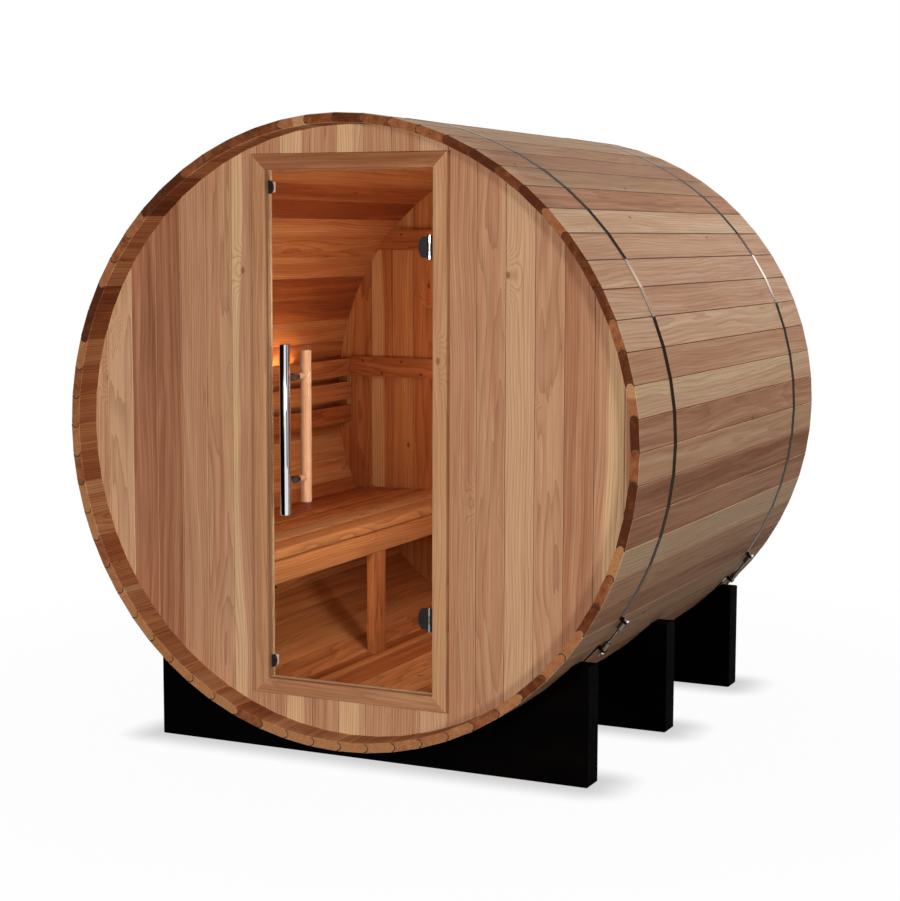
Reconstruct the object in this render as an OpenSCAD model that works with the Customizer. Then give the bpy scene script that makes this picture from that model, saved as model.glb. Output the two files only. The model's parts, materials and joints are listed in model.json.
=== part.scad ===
// Barrel sauna: a lying barrel of bead-and-cove staves on three cradles,
// closed by two board walls, with a framed glass door, a bench and a backrest.
// Millimetres, +Z up, ground at z = 0, the door faces -Y, the barrel axis runs along Y.

/* [Barrel] */
// Outer radius of the barrel, out to the corners of the staves
barrel_r = 910; // [900:5:1040]
// Length of the barrel from rim to rim
barrel_l = 1776; // [1600:4:2400]
// Height of the lowest stave above the ground
barrel_lift = 66; // [50:1:120]
// Number of staves around the barrel
stave_count = 64; // [56:8:72]
// Thickness of the staves
stave_t = 28; // [26:1:34]
// Gap between neighbouring staves
stave_gap = 0.4; // [0.2:0.1:0.8]
// Radius of the round bead along one edge of each stave
bead_r = 9; // [6:0.5:10]
// Depth of the groove across the staves that holds an end wall
croze_depth = 10; // [6:1:12]
// Play of an end wall in its groove
croze_play = 0.3; // [0.2:0.1:0.6]

/* [End walls] */
// Distance of an end wall's outer face from the rim
wall_recess = 88; // [60:1:140]
// Thickness of the end walls
wall_t = 28; // [22:1:40]
// Height of the battens across the back wall
batten_h = 73; // [40:1:110]
// Thickness of the battens
batten_t = 20; // [12:1:30]
// Height of the upper batten's centre over the barrel axis
upper_batten_rise = 551; // [450:1:620]
// Height of the lower batten's centre over the barrel axis
lower_batten_rise = 79; // [0:1:200]

/* [Doorway] */
// Clear width of the doorway
door_w = 538; // [480:2:560]
// Clear height of the doorway
door_h = 1493; // [1380:1:1510]
// Depth of the doorway's bottom below the barrel axis
door_drop = 736; // [700:1:750]
// Thickness of the jamb boards that line the doorway
jamb_t = 19; // [12:1:30]
// Width of the casing around the doorway
casing_w = 45; // [30:1:55]
// Thickness of the casing
casing_t = 19; // [17:1:30]
// Width of the bevel along the casing's edges
casing_bevel = 4; // [1:0.5:8]

/* [Glass door] */
// Thickness of the glass
glass_t = 8; // [6:1:12]
// Gap between the glass and the jambs
glass_gap = 5; // [5:0.5:9]
// Distance of the glass in front of the wall's outer face
glass_proud = 2; // [0:0.5:6]
// Distance of the hinges' centres from the top and the bottom of the doorway
hinge_inset = 220; // [120:1:400]
// Height of a hinge
hinge_h = 66; // [50:1:90]
// Radius of the hinge knuckles
knuckle_r = 6.5; // [6:0.1:7]
// Radius of the hinge pins
pin_r = 3; // [2:0.1:4]
// Distance of the hinge pins from the jamb
pin_offset = 11; // [10:0.5:14]
// Width of a hinge's glass plate
clamp_w = 30; // [24:1:50]
// Height of a hinge's glass plate
clamp_h = 58; // [44:1:62]
// Thickness of the glass plates of the hinges
clamp_t = 5; // [3:0.5:6]
// Distance of the catches' centres from the top and the bottom of the doorway
catch_inset = 50; // [35:1:90]
// Width of a catch plate on the glass
clip_w = 14; // [12:1:24]
// Height of a catch plate on the glass
clip_h = 38; // [28:1:50]
// Thickness of a catch plate
clip_t = 3; // [2:0.5:4]
// Free gap between a catch plate and its magnet
catch_gap = 5; // [5:0.5:7]

/* [Door handle] */
// Radius of the steel bar outside and of the wooden bar inside
bar_r = 16; // [10:0.5:20]
// Length of the steel bar
bar_l = 494; // [400:2:700]
// Length of the wooden bar
grip_l = 448; // [380:2:700]
// Distance between the handle's two fixings
handle_pitch = 300; // [200:2:360]
// Distance of the handle from the jamb
handle_inset = 87; // [50:1:150]
// Distance of the steel bar's centre from the glass
bar_reach = 56; // [40:1:65]
// Distance of the wooden bar's centre from the glass
grip_reach = 62; // [40:1:80]
// Radius of the fixings
fixing_r = 8; // [6:0.5:9]

/* [Bands] */
// Width of the steel bands
band_w = 25; // [15:1:40]
// Thickness of the steel bands
band_t = 0.8; // [0.5:0.1:1.5]
// Distance of the front band's centre from the front rim
front_band_inset = 291; // [250:1:400]
// Distance of the back band's centre from the back rim
back_band_inset = 238; // [200:1:400]
// Angle of the tensioners below the horizontal
tensioner_angle = 37.2; // [30:0.1:40]
// Distance between the two lugs of a tensioner
lug_span = 106; // [80:1:130]
// Height of the lugs over the staves
lug_h = 24; // [18:1:30]
// Radius of the tensioner bolts
bolt_r = 4; // [3:0.5:5]

/* [Cradles] */
// Length of a cradle across the barrel
cradle_l = 1414; // [1200:2:1500]
// Thickness of a cradle
cradle_t = 81; // [60:1:120]
// Height of a cradle at its ends
cradle_h = 344; // [280:1:380]
// Distance of the outer cradles' centres from the rims
cradle_inset = 211; // [150:1:240]

/* [Floor] */
// Width of the floor deck
deck_w = 556; // [480:2:680]
// Thickness of the deck boards
deck_t = 20; // [16:1:22]
// Height of the deck's underside over the place where the cabin is as wide as the deck
deck_rise = 8.2; // [0.5:0.1:40]
// Width of a deck board
deck_board_w = 85.7; // [60:0.1:140]
// Gap between two deck boards
deck_gap = 2; // [1:0.5:6]
// Thickness of the bearers under the deck
bearer_t = 40; // [28:1:60]

/* [Bench] */
// Height of the seat over the deck
seat_h = 431.5; // [400:0.5:470]
// Thickness of the seat boards
seat_t = 35; // [28:1:45]
// Width of a seat board
seat_board_w = 87.6; // [60:0.2:100]
// Gap between two seat boards
seat_gap = 6; // [3:0.5:12]
// Number of seat boards
seat_boards = 5; // [4:1:5]
// Height of the fascia under the seat's front edge
fascia_h = 70; // [50:1:90]
// Thickness of the fascia, of the bearers and of the post
frame_t = 28; // [20:1:40]
// Width of the post under the bench
post_w = 85; // [60:1:120]

/* [Backrest] */
// Number of slats
slat_count = 3; // [2:1:3]
// Height of a slat
slat_h = 66; // [50:1:80]
// Thickness of a slat
slat_t = 20; // [16:1:28]
// Gap between two slats
slat_gap = 22; // [12:1:30]
// Height of the lowest slat over the seat
slat_rise = 242; // [180:1:260]
// Distance of the slats' front from the widest place of the cabin
slat_depth = 51; // [44:1:80]
// Depth of the supports at the seat
support_foot = 58; // [40:1:90]
// Length of the light behind the top slat
light_l = 320; // [300:10:600]

/* [Hidden] */
$fn = 240;

// Overrun of every cut
over = 1;
// Clearance where one wooden piece is cut to the curve of the staves
scribe = 0.2;
// Clearance of a piece that is fitted on another
fit = 0.3;

// Barrel
axis_z = barrel_lift + barrel_r;
stave_step = 360 / stave_count;
stave_groups = 8;
group_size = stave_count / stave_groups;
outer_a = barrel_r * cos(stave_step / 2);
inner_a = outer_a - stave_t;
middle_a = outer_a - stave_t / 2;
cabin_r = inner_a - scribe;
rim_y = barrel_l / 2;
wall_r = inner_a + croze_depth - croze_play;

// End walls: outer and inner faces
front_wall_y = [wall_recess - rim_y, wall_recess + wall_t - rim_y];
back_wall_y = [rim_y - wall_recess - wall_t, rim_y - wall_recess];
cabin_y = [front_wall_y[1], back_wall_y[0]];

// Doorway
half_w = door_w / 2;
sill_z = axis_z - door_drop;
head_z = sill_z + door_h;
door_z = (sill_z + head_z) / 2;
frame_x = half_w + jamb_t;
frame_z = [sill_z - jamb_t, head_z + jamb_t];

// Glass and what is on it
glass_y = [front_wall_y[0] - glass_proud, front_wall_y[0] - glass_proud + glass_t];
glass_x = half_w - glass_gap;
pin_x = half_w - pin_offset;
pin_y = glass_y[0] - pin_offset;
hinge_z = [head_z - hinge_inset, sill_z + hinge_inset];
catch_z = [head_z - catch_inset, sill_z + catch_inset];
pin_play = 0.3;
knuckle_gap = 0.8;
knuckle_h = (hinge_h - 2 * knuckle_gap) / 3;
leaf_t = 3;
leaf_w = 11;
web_t = 6;
cap_r = 4.5;
cap_h = 2;
clamp_clear = 2;
clamp_right = pin_x - knuckle_r - clamp_clear;
clamp_belly_r = 47;
clamp_bolt_r = 4;
clamp_bolt_pitch = 30;
clamp_arm = 6;
clip_bolt_r = 3;
clip_belly_r = 24;
magnet_w = 14;
magnet_h = 30;
magnet_t = 12;
stud_r = 5;
handle_x = handle_inset - half_w;
handle_z = [door_z - handle_pitch / 2, door_z + handle_pitch / 2];
bar_y = glass_y[0] - bar_reach;
grip_y = glass_y[1] + grip_reach;

// Bands
band_y = [front_band_inset - rim_y, rim_y - back_band_inset];
band_a = outer_a + fit;
lug_t = 4;
bolt_rise = 14;
bolt_tail = 12;
nut_r = 8;
nut_t = 7;
nut_sides = 6;
band_slot = 3;

// Cradles
cradle_y = [cradle_inset - rim_y, 0, rim_y - cradle_inset];

// Floor deck
function floor_at(r, x) = axis_z - sqrt(r * r - x * x);
deck_z = floor_at(cabin_r, deck_w / 2) + deck_rise + deck_t;
deck_pitch = deck_board_w + deck_gap;
deck_side = ceil((deck_w / 2 - deck_board_w / 2) / deck_pitch);
deck_end_gap = 5;
bearer_inset = 120;
bearer_y = [cabin_y[0] + bearer_inset, 0, cabin_y[1] - bearer_inset];

// Bench along the left side, its back edge a little off the curve of the staves
function chord(r, z) = sqrt(r * r - (z - axis_z) * (z - axis_z));
seat_z = deck_z + seat_h;
seat_pitch = seat_board_w + seat_gap;
seat_w = seat_boards * seat_pitch - seat_gap;
seat_wall_gap = 6;
seat_back_x = seat_wall_gap - chord(inner_a, seat_z - seat_t);
seat_front_x = seat_back_x + seat_w;
seat_end_gap = 2;
fascia_set = 3;
fascia_x = [seat_front_x - fascia_set - frame_t, seat_front_x - fascia_set];
fascia_z = [seat_z - seat_t - fascia_h, seat_z - seat_t];

// Backrest
slat_x = [slat_depth - inner_a - slat_t, slat_depth - inner_a];
slat_pitch = slat_h + slat_gap;
slat_z = seat_z + slat_rise;
slat_top_z = slat_z + slat_count * slat_pitch - slat_gap;
slat_foot_gap = 2;
batten_gap = 2;
light_t = 9;
light_h = 16;
light_drop = 8;
light_end_gap = 60;

cedar = [0.72, 0.53, 0.39];
cedar_pale = [0.77, 0.64, 0.49];
cedar_red = [0.62, 0.42, 0.30];
cabin_wood = [0.58, 0.33, 0.18];
near_black = [0.05, 0.045, 0.04];
chrome = [0.78, 0.79, 0.80];
black = [0.03, 0.03, 0.03];
clear = [0.75, 0.85, 0.85, 0.35];
ivory = [0.90, 0.84, 0.80];

// A box between two corners, given as ranges along the three axes
module slab(x, y, z) {
    translate([x[0], y[0], z[0]])
        cube([x[1] - x[0], y[1] - y[0], z[1] - z[0]]);
}

// An outline drawn in X and Z, carried along Y over a range
module prism(y) {
    translate([0, y[1], 0])
        rotate([90, 0, 0])
            linear_extrude(y[1] - y[0])
                children();
}

// A round bar along Y, over a range
module bar_along_y(r, x, y, z) {
    translate([x, y[0], z])
        rotate([-90, 0, 0])
            cylinder(r = r, h = y[1] - y[0]);
}

// A round bar along Z, over a range
module bar_along_z(r, x, y, z) {
    translate([x, y, z[0]])
        cylinder(r = r, h = z[1] - z[0]);
}

// A place seen from the barrel axis: local X points out at an angle, local Z goes round
module at_angle(angle) {
    translate([0, 0, axis_z])
        rotate([0, -angle, 0])
            children();
}

// What the cabin's round inside leaves of a piece
module inside_cabin(y) {
    intersection() {
        bar_along_y(cabin_r, 0, y, axis_z);
        children();
    }
}

// Half the width of a stave at a distance from the axis
function stave_half(a) = a * tan(stave_step / 2) - stave_gap / 2;

// Section of a stave: flat faces, a bead on one edge and a cove on the other
module stave_section() {
    difference() {
        union() {
            polygon([
                [inner_a, -stave_half(inner_a)],
                [outer_a, -stave_half(outer_a)],
                [outer_a, stave_half(outer_a)],
                [inner_a, stave_half(inner_a)]
            ]);
            translate([middle_a, stave_half(middle_a)])
                circle(bead_r);
        }
        rotate(-stave_step)
            translate([middle_a, stave_half(middle_a)])
                circle(bead_r + stave_gap);
    }
}

// One stave, with the two grooves that hold the end walls
module stave(k) {
    width = 2 * stave_half(outer_a);
    at_angle((k + 1 / 2) * stave_step)
        difference() {
            prism([-rim_y, rim_y])
                stave_section();
            for (y = [front_wall_y, back_wall_y])
                slab([inner_a - over, inner_a + croze_depth],
                     [y[0] - croze_play, y[1] + croze_play],
                     [-width, width]);
        }
}

module staves(group) {
    color(group % 2 == 0 ? cedar : cedar_pale)
        for (k = [group * group_size : (group + 1) * group_size - 1])
            stave(k);
}

// A round board wall
module end_wall(y) {
    bar_along_y(wall_r, 0, y, axis_z);
}

// The part of the front wall within a range of X and Z
module front_wall_part(x, z) {
    color(cedar)
        intersection() {
            end_wall(front_wall_y);
            slab(x, [front_wall_y[0] - over, front_wall_y[1] + over], z);
        }
}

module front_wall_left() {
    front_wall_part([-barrel_r, -frame_x], [0, axis_z + barrel_r]);
}

module front_wall_right() {
    front_wall_part([frame_x, barrel_r], [0, axis_z + barrel_r]);
}

module front_wall_over_door() {
    front_wall_part([-frame_x, frame_x], [frame_z[1], axis_z + barrel_r]);
}

module front_wall_under_door() {
    front_wall_part([-frame_x, frame_x], [0, frame_z[0]]);
}

module back_wall() {
    color(cedar_red)
        end_wall(back_wall_y);
}

// The lower batten stops at the backrest
module back_wall_battens() {
    y = [cabin_y[1] - batten_t, cabin_y[1]];
    upper_z = axis_z + upper_batten_rise;
    lower_z = axis_z + lower_batten_rise;
    lower_x = slat_x[1] + batten_gap;
    color(cedar_red)
        inside_cabin(y) {
            union() {
                slab([-barrel_r, barrel_r], y, [upper_z - batten_h / 2, upper_z + batten_h / 2]);
                slab([lower_x, barrel_r], y, [lower_z - batten_h / 2, lower_z + batten_h / 2]);
            }
        }
}

module door_jambs() {
    color(cedar_pale)
        for (side = [0, 1])
            mirror([side, 0, 0])
                slab([half_w, frame_x], front_wall_y, frame_z);
}

module door_head() {
    color(cedar_pale)
        slab([-half_w, half_w], front_wall_y, [head_z, frame_z[1]]);
}

module door_sill() {
    color(cedar_pale)
        slab([-half_w, half_w], front_wall_y, [frame_z[0], sill_z]);
}

// A mitred casing board along X, its inner edge at z = 0 and its back at y = 0
module casing_board(length) {
    end = length / 2;
    intersection() {
        prism([-casing_t, 0])
            polygon([[-end, 0], [end, 0], [end + casing_w, casing_w], [-end - casing_w, casing_w]]);
        translate([-end - casing_w, 0, 0])
            rotate([90, 0, 90])
                linear_extrude(length + 2 * casing_w)
                    polygon([
                        [0, 0],
                        [0, casing_w],
                        [casing_bevel - casing_t, casing_w],
                        [-casing_t, casing_w - casing_bevel],
                        [-casing_t, casing_bevel],
                        [casing_bevel - casing_t, 0]
                    ]);
    }
}

// A casing board on one side of the doorway: 0 over it, 90 right, 180 under it, 270 left
module casing_side(angle, length, reach) {
    color(cedar_pale)
        translate([0, front_wall_y[0], door_z])
            rotate([0, angle, 0])
                translate([0, 0, reach])
                    casing_board(length);
}

module casing_top() {
    casing_side(0, door_w, door_h / 2);
}

module casing_right() {
    casing_side(90, door_h, half_w);
}

module casing_bottom() {
    casing_side(180, door_w, door_h / 2);
}

module casing_left() {
    casing_side(270, door_h, half_w);
}

// Places of the bolts of a hinge plate, and of a catch plate
function clamp_bolts(z) = [for (s = [-1, 1]) [clamp_right - clamp_w / 2, z + s * clamp_bolt_pitch / 2]];
function clip_bolt(z) = [clip_w / 2 - glass_x, z];

module door_glass() {
    bore_y = [glass_y[0] - over, glass_y[1] + over];
    color(clear)
        difference() {
            slab([-glass_x, glass_x], glass_y, [sill_z + glass_gap, head_z - glass_gap]);
            for (z = hinge_z, p = clamp_bolts(z))
                bar_along_y(clamp_bolt_r + fit, p[0], bore_y, p[1]);
            for (z = catch_z)
                bar_along_y(clip_bolt_r + fit, clip_bolt(z)[0], bore_y, z);
            for (z = handle_z)
                bar_along_y(stud_r + fit, handle_x, bore_y, z);
        }
}

// The outer knuckles, their leaf on the casing and the pin with its caps
module hinge_leaf(z) {
    top = z + hinge_h / 2;
    bottom = z - hinge_h / 2;
    slab([half_w - leaf_t, half_w], [pin_y - leaf_w / 2, pin_y + leaf_w / 2], [bottom, top]);
    for (zz = [[bottom, bottom + knuckle_h], [top - knuckle_h, top]]) {
        bar_along_z(knuckle_r, pin_x, pin_y, zz);
        slab([pin_x, half_w - leaf_t / 2], [pin_y - web_t / 2, pin_y + web_t / 2], zz);
    }
    bar_along_z(pin_r, pin_x, pin_y, [bottom, top]);
    bar_along_z(cap_r, pin_x, pin_y, [bottom - cap_h, bottom]);
    bar_along_z(cap_r, pin_x, pin_y, [top, top + cap_h]);
}

module hinge_leaves() {
    color(chrome)
        for (z = hinge_z)
            hinge_leaf(z);
}

// A plate with a straight edge at x_edge and a round belly that reaches a width away from it
module belly_plate(x_edge, width, height, belly_r, y, z) {
    far_x = x_edge + width;
    intersection() {
        slab([min(x_edge, far_x), max(x_edge, far_x)], y, [z - height / 2, z + height / 2]);
        bar_along_y(belly_r, far_x - sign(width) * belly_r, y, z);
    }
}

// Plates on both faces of the glass, bolted through it, with the middle knuckle
module hinge_clamp(z) {
    front_y = [glass_y[0] - fit - clamp_t, glass_y[0] - fit];
    back_y = [glass_y[1] + fit, glass_y[1] + fit + clamp_t];
    middle_z = [z - knuckle_h / 2, z + knuckle_h / 2];
    difference() {
        union() {
            belly_plate(clamp_right, -clamp_w, clamp_h, clamp_belly_r, front_y, z);
            belly_plate(clamp_right, -clamp_w, clamp_h, clamp_belly_r, back_y, z);
            for (p = clamp_bolts(z))
                bar_along_y(clamp_bolt_r, p[0], [front_y[0], back_y[1]], p[1]);
            slab([clamp_right - clamp_arm, pin_x], [pin_y, front_y[1]], middle_z);
            bar_along_z(knuckle_r - fit, pin_x, pin_y, middle_z);
        }
        bar_along_z(pin_r + pin_play, pin_x, pin_y, [middle_z[0] - over, middle_z[1] + over]);
    }
}

module hinge_clamps() {
    color(black)
        for (z = hinge_z)
            hinge_clamp(z);
}

// Plates on both faces of the glass at its free edge, bolted through it
module catch_clips() {
    front_y = [glass_y[0] - fit - clip_t, glass_y[0] - fit];
    back_y = [glass_y[1] + fit, glass_y[1] + fit + clip_t];
    color(black)
        for (z = catch_z) {
            belly_plate(-glass_x, clip_w, clip_h, clip_belly_r, front_y, z);
            belly_plate(-glass_x, clip_w, clip_h, clip_belly_r, back_y, z);
            bar_along_y(clip_bolt_r, clip_bolt(z)[0], [front_y[0], back_y[1]], z);
        }
}

module catch_magnets() {
    y = glass_y[1] + fit + clip_t + catch_gap;
    color(ivory)
        for (z = catch_z)
            slab([-half_w, magnet_w - half_w], [y, y + magnet_t], [z - magnet_h / 2, z + magnet_h / 2]);
}

module handle_bar() {
    color(chrome)
        bar_along_z(bar_r, handle_x, bar_y, [door_z - bar_l / 2, door_z + bar_l / 2]);
}

module handle_grip() {
    color(cedar_pale)
        bar_along_z(bar_r, handle_x, grip_y, [door_z - grip_l / 2, door_z + grip_l / 2]);
}

// Sleeves between the glass and the steel bar, each with a stud through the glass
module handle_fixings() {
    color(chrome)
        for (z = handle_z)
            difference() {
                union() {
                    bar_along_y(fixing_r, handle_x, [bar_y, glass_y[0] - fit], z);
                    bar_along_y(stud_r, handle_x, [bar_y, glass_y[1]], z);
                }
                bar_along_z(bar_r + fit, handle_x, bar_y, [z - 2 * fixing_r, z + 2 * fixing_r]);
            }
}

// Wooden sleeves between the glass and the wooden bar
module handle_grip_posts() {
    color(cedar_pale)
        for (z = handle_z)
            difference() {
                bar_along_y(fixing_r, handle_x, [glass_y[1] + fit, grip_y], z);
                bar_along_z(bar_r + fit, handle_x, grip_y, [z - 2 * fixing_r, z + 2 * fixing_r]);
            }
}

// Seen with a tensioner on the X axis: where the flat-sided outline at a distance a from the axis
// meets a line at a sideways distance, and the corners of that outline beyond the line
function outline_x(a, side) =
    let (turn = floor((atan2(side, a) - tensioner_angle) / stave_step))
    let (facet = (turn + 1 / 2) * stave_step + tensioner_angle)
    (a - side * sin(facet)) / cos(facet);
function outline_corners(a, side) =
    let (r = a / cos(stave_step / 2))
    let (edge = asin(side / r))
    let (first = ceil((edge - tensioner_angle) / stave_step))
    let (last = floor((360 - edge - tensioner_angle) / stave_step))
    [for (k = [first : last]) let (t = k * stave_step + tensioner_angle) r * [cos(t), sin(t)]];
function reversed(list) = [for (i = [len(list) - 1 : -1 : 0]) list[i]];

// A band round the staves, its ends bent out as the two lugs of its tensioner
module band(y) {
    inner = lug_span / 2;
    outer = inner + lug_t;
    lug_top = barrel_r + lug_h;
    back_a = band_a + band_t;
    color(chrome)
        at_angle(-tensioner_angle)
            difference() {
                prism([y - band_w / 2, y + band_w / 2])
                    polygon(concat(
                        [[lug_top, inner], [lug_top, outer], [outline_x(back_a, outer), outer]],
                        outline_corners(back_a, outer),
                        [[outline_x(back_a, -outer), -outer], [lug_top, -outer], [lug_top, -inner]],
                        [[outline_x(band_a, -inner), -inner]],
                        reversed(outline_corners(band_a, inner)),
                        [[outline_x(band_a, inner), inner]]
                    ));
                bar_along_z(bolt_r + fit, barrel_r + bolt_rise, y, [-outer - over, outer + over]);
            }
}

module band_front() {
    band(band_y[0]);
}

module band_back() {
    band(band_y[1]);
}

// A bolt through both lugs, with a nut outside each
module tensioner_bolts() {
    seat = lug_span / 2 + lug_t;
    color(chrome)
        for (y = band_y)
            at_angle(-tensioner_angle) {
                bar_along_z(bolt_r, barrel_r + bolt_rise, y, [-seat - nut_t - bolt_tail, seat + nut_t]);
                for (z = [[seat, seat + nut_t], [-seat - nut_t, -seat]])
                    translate([barrel_r + bolt_rise, y, z[0]])
                        cylinder(r = nut_r, h = nut_t, $fn = nut_sides);
            }
}

// A timber with the barrel's curve cut out of it, and a shallow slot where a band passes
module cradle(y) {
    reach = [y - cradle_t / 2, y + cradle_t / 2];
    slot_half = band_w / 2 + band_slot;
    color(near_black)
        difference() {
            slab([-cradle_l / 2, cradle_l / 2], reach, [0, cradle_h]);
            bar_along_y(barrel_r + fit, 0, [reach[0] - over, reach[1] + over], axis_z);
            for (b = band_y)
                bar_along_y(barrel_r + band_slot, 0, [b - slot_half, b + slot_half], axis_z);
        }
}

module cradle_front() {
    cradle(cradle_y[0]);
}

module cradle_middle() {
    cradle(cradle_y[1]);
}

module cradle_back() {
    cradle(cradle_y[2]);
}

// Boards side by side from the middle, the outer ones cut to the deck's width and clear of the bench post
module floor_boards() {
    y = [cabin_y[0] + deck_end_gap, cabin_y[1] - deck_end_gap];
    z = [deck_z - deck_t, deck_z];
    post_half = post_w / 2 + deck_gap;
    color(cabin_wood)
        difference() {
            inside_cabin(y) {
                for (i = [-deck_side : deck_side]) {
                    left = i * deck_pitch - deck_board_w / 2;
                    right = i * deck_pitch + deck_board_w / 2;
                    slab([max(left, -deck_w / 2), min(right, deck_w / 2)], y, z);
                }
            }
            slab([fascia_x[0] - deck_gap, fascia_x[1] + deck_gap], [-post_half, post_half],
                 [z[0] - over, z[1] + over]);
        }
}

module floor_bearers() {
    color(cabin_wood)
        for (y = bearer_y) {
            reach = [y - bearer_t / 2, y + bearer_t / 2];
            inside_cabin(reach)
                slab([-deck_w / 2, deck_w / 2], reach, [barrel_lift, deck_z - deck_t]);
        }
}

module bench_seat() {
    y = [cabin_y[0] + seat_end_gap, cabin_y[1] - seat_end_gap];
    color(cabin_wood)
        inside_cabin(y) {
            for (i = [0 : seat_boards - 1]) {
                front = seat_front_x - i * seat_pitch;
                slab([front - seat_board_w, front], y, [seat_z - seat_t, seat_z]);
            }
        }
}

module bench_fascia() {
    color(cabin_wood)
        slab(fascia_x, [cabin_y[0] + seat_end_gap, cabin_y[1] - seat_end_gap], fascia_z);
}

// The post under the middle of the fascia, its foot cut to the staves
module bench_post() {
    y = [-post_w / 2, post_w / 2];
    color(cabin_wood)
        inside_cabin(y)
            slab(fascia_x, y, [barrel_lift, fascia_z[0]]);
}

// Bearers under the seat: on both end walls and at the post
module bench_bearers() {
    color(cabin_wood)
        for (y = [cabin_y[0], -frame_t / 2, cabin_y[1] - frame_t]) {
            reach = [y, y + frame_t];
            inside_cabin(reach)
                slab([-barrel_r, fascia_x[0]], reach, fascia_z);
        }
}

module backrest_slats() {
    y = [cabin_y[0] + seat_end_gap, cabin_y[1] - seat_end_gap];
    color(cabin_wood)
        for (i = [0 : slat_count - 1])
            slab(slat_x, y, [slat_z + i * slat_pitch, slat_z + i * slat_pitch + slat_h]);
}

// Upright behind the slats
module slat_upright(y) {
    inside_cabin(y)
        slab([-barrel_r, slat_x[0]], y, [slat_z, slat_top_z]);
}

// Leaning foot between the seat and the lowest slat
module slat_foot(y) {
    foot_x = support_foot - chord(cabin_r, seat_z);
    inside_cabin(y)
        prism(y)
            polygon([
                [-barrel_r, seat_z],
                [foot_x, seat_z],
                [slat_x[1], slat_z - slat_foot_gap],
                [slat_x[0], slat_z - slat_foot_gap],
                [slat_x[0], slat_z],
                [-barrel_r, slat_z]
            ]);
}

module backrest_supports() {
    color(cabin_wood) {
        for (y = [cabin_y[0], cabin_y[1] - frame_t]) {
            slat_upright([y, y + frame_t]);
            slat_foot([y, y + frame_t]);
        }
        slat_upright([-frame_t / 2, frame_t / 2]);
    }
}

// A light strip on the back of the top slat, in the bay behind the middle upright
module backrest_light() {
    y = frame_t / 2 + light_end_gap;
    top = slat_top_z - light_drop;
    color(ivory)
        slab([slat_x[0] - light_t, slat_x[0]], [y, y + light_l], [top - light_h, top]);
}

staves(0);  // staves_right_upper
staves(1);  // staves_top_right
staves(2);  // staves_top_left
staves(3);  // staves_left_upper
staves(4);  // staves_left_lower
staves(5);  // staves_bottom_left
staves(6);  // staves_bottom_right
staves(7);  // staves_right_lower
front_wall_left();
front_wall_right();
front_wall_over_door();
front_wall_under_door();
back_wall();
back_wall_battens();
door_jambs();
door_head();
door_sill();
casing_left();
casing_right();
casing_top();
casing_bottom();
door_glass();
hinge_leaves();
hinge_clamps();
catch_clips();
catch_magnets();
handle_bar();
handle_fixings();
handle_grip();
handle_grip_posts();
band_front();
band_back();
tensioner_bolts();
cradle_front();
cradle_middle();
cradle_back();
floor_boards();
floor_bearers();
bench_seat();
bench_fascia();
bench_post();
bench_bearers();
backrest_slats();
backrest_supports();
backrest_light();
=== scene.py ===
"""Looks of a barrel sauna: staves, board walls, glass door, bench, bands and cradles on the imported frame.

Lengths are metres in the frame's own axes: +Z up, the door faces -Y and the barrel axis runs along Y.
"""

import json
import logging
import math
from collections.abc import Callable, Sequence
from dataclasses import dataclass, field, replace
from enum import Enum
from typing import Any

import bpy
import numpy as np
from mathutils import Matrix, Vector


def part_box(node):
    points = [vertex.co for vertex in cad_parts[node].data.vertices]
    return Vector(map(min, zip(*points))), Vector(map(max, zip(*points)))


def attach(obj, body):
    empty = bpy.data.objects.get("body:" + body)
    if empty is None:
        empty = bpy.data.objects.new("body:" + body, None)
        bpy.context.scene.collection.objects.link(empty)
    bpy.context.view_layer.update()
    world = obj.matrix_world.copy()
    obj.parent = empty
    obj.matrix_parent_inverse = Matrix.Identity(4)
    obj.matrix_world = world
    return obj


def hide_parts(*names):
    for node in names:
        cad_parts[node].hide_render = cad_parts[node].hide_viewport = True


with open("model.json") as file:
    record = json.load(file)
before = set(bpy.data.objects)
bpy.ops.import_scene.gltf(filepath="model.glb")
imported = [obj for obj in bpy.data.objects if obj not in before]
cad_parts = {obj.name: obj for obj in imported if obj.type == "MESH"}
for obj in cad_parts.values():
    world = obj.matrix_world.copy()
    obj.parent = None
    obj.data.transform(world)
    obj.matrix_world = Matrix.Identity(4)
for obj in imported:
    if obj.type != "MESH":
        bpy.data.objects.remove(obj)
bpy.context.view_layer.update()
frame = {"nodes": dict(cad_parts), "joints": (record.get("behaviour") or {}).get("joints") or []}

Array = np.ndarray
Pair = tuple[float, float]
Triple = tuple[float, float, float]
Colour = tuple[float, float, float, float]
Material = bpy.types.Material
Socket = bpy.types.NodeSocket
LOG = logging.getLogger("barrel_sauna")
X, Y, Z = np.eye(3)
NO_SAP = 9.0


def srgb(red: int, green: int, blue: int) -> Colour:
    """A colour given as it looks on a screen, in linear light.

    Args:
        red: Red share, from 0 to 255.
        green: Green share.
        blue: Blue share.

    Returns:
        The linear colour with full alpha.
    """
    shares = np.array([red, green, blue]) / 255.0
    linear = np.where(shares <= 0.04045, shares / 12.92, ((shares + 0.055) / 1.055) ** 2.4)
    return (*linear.tolist(), 1.0)


def corners(node: str) -> tuple[Array, Array]:
    """The lowest and the highest corner of a CAD node, as arrays."""
    low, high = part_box(node)
    return np.array(low), np.array(high)


def dress(node: str, finish: Material) -> None:
    """Gives one finish to a CAD node that shows as it is.

    Args:
        node: Name of the node.
        finish: The finish.
    """
    materials = frame["nodes"][node].data.materials
    materials.clear()
    materials.append(finish)


def kept(tone: float) -> float:
    """A tone kept off both ends of its scale."""
    return float(np.clip(tone, 0.02, 0.98))


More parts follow.
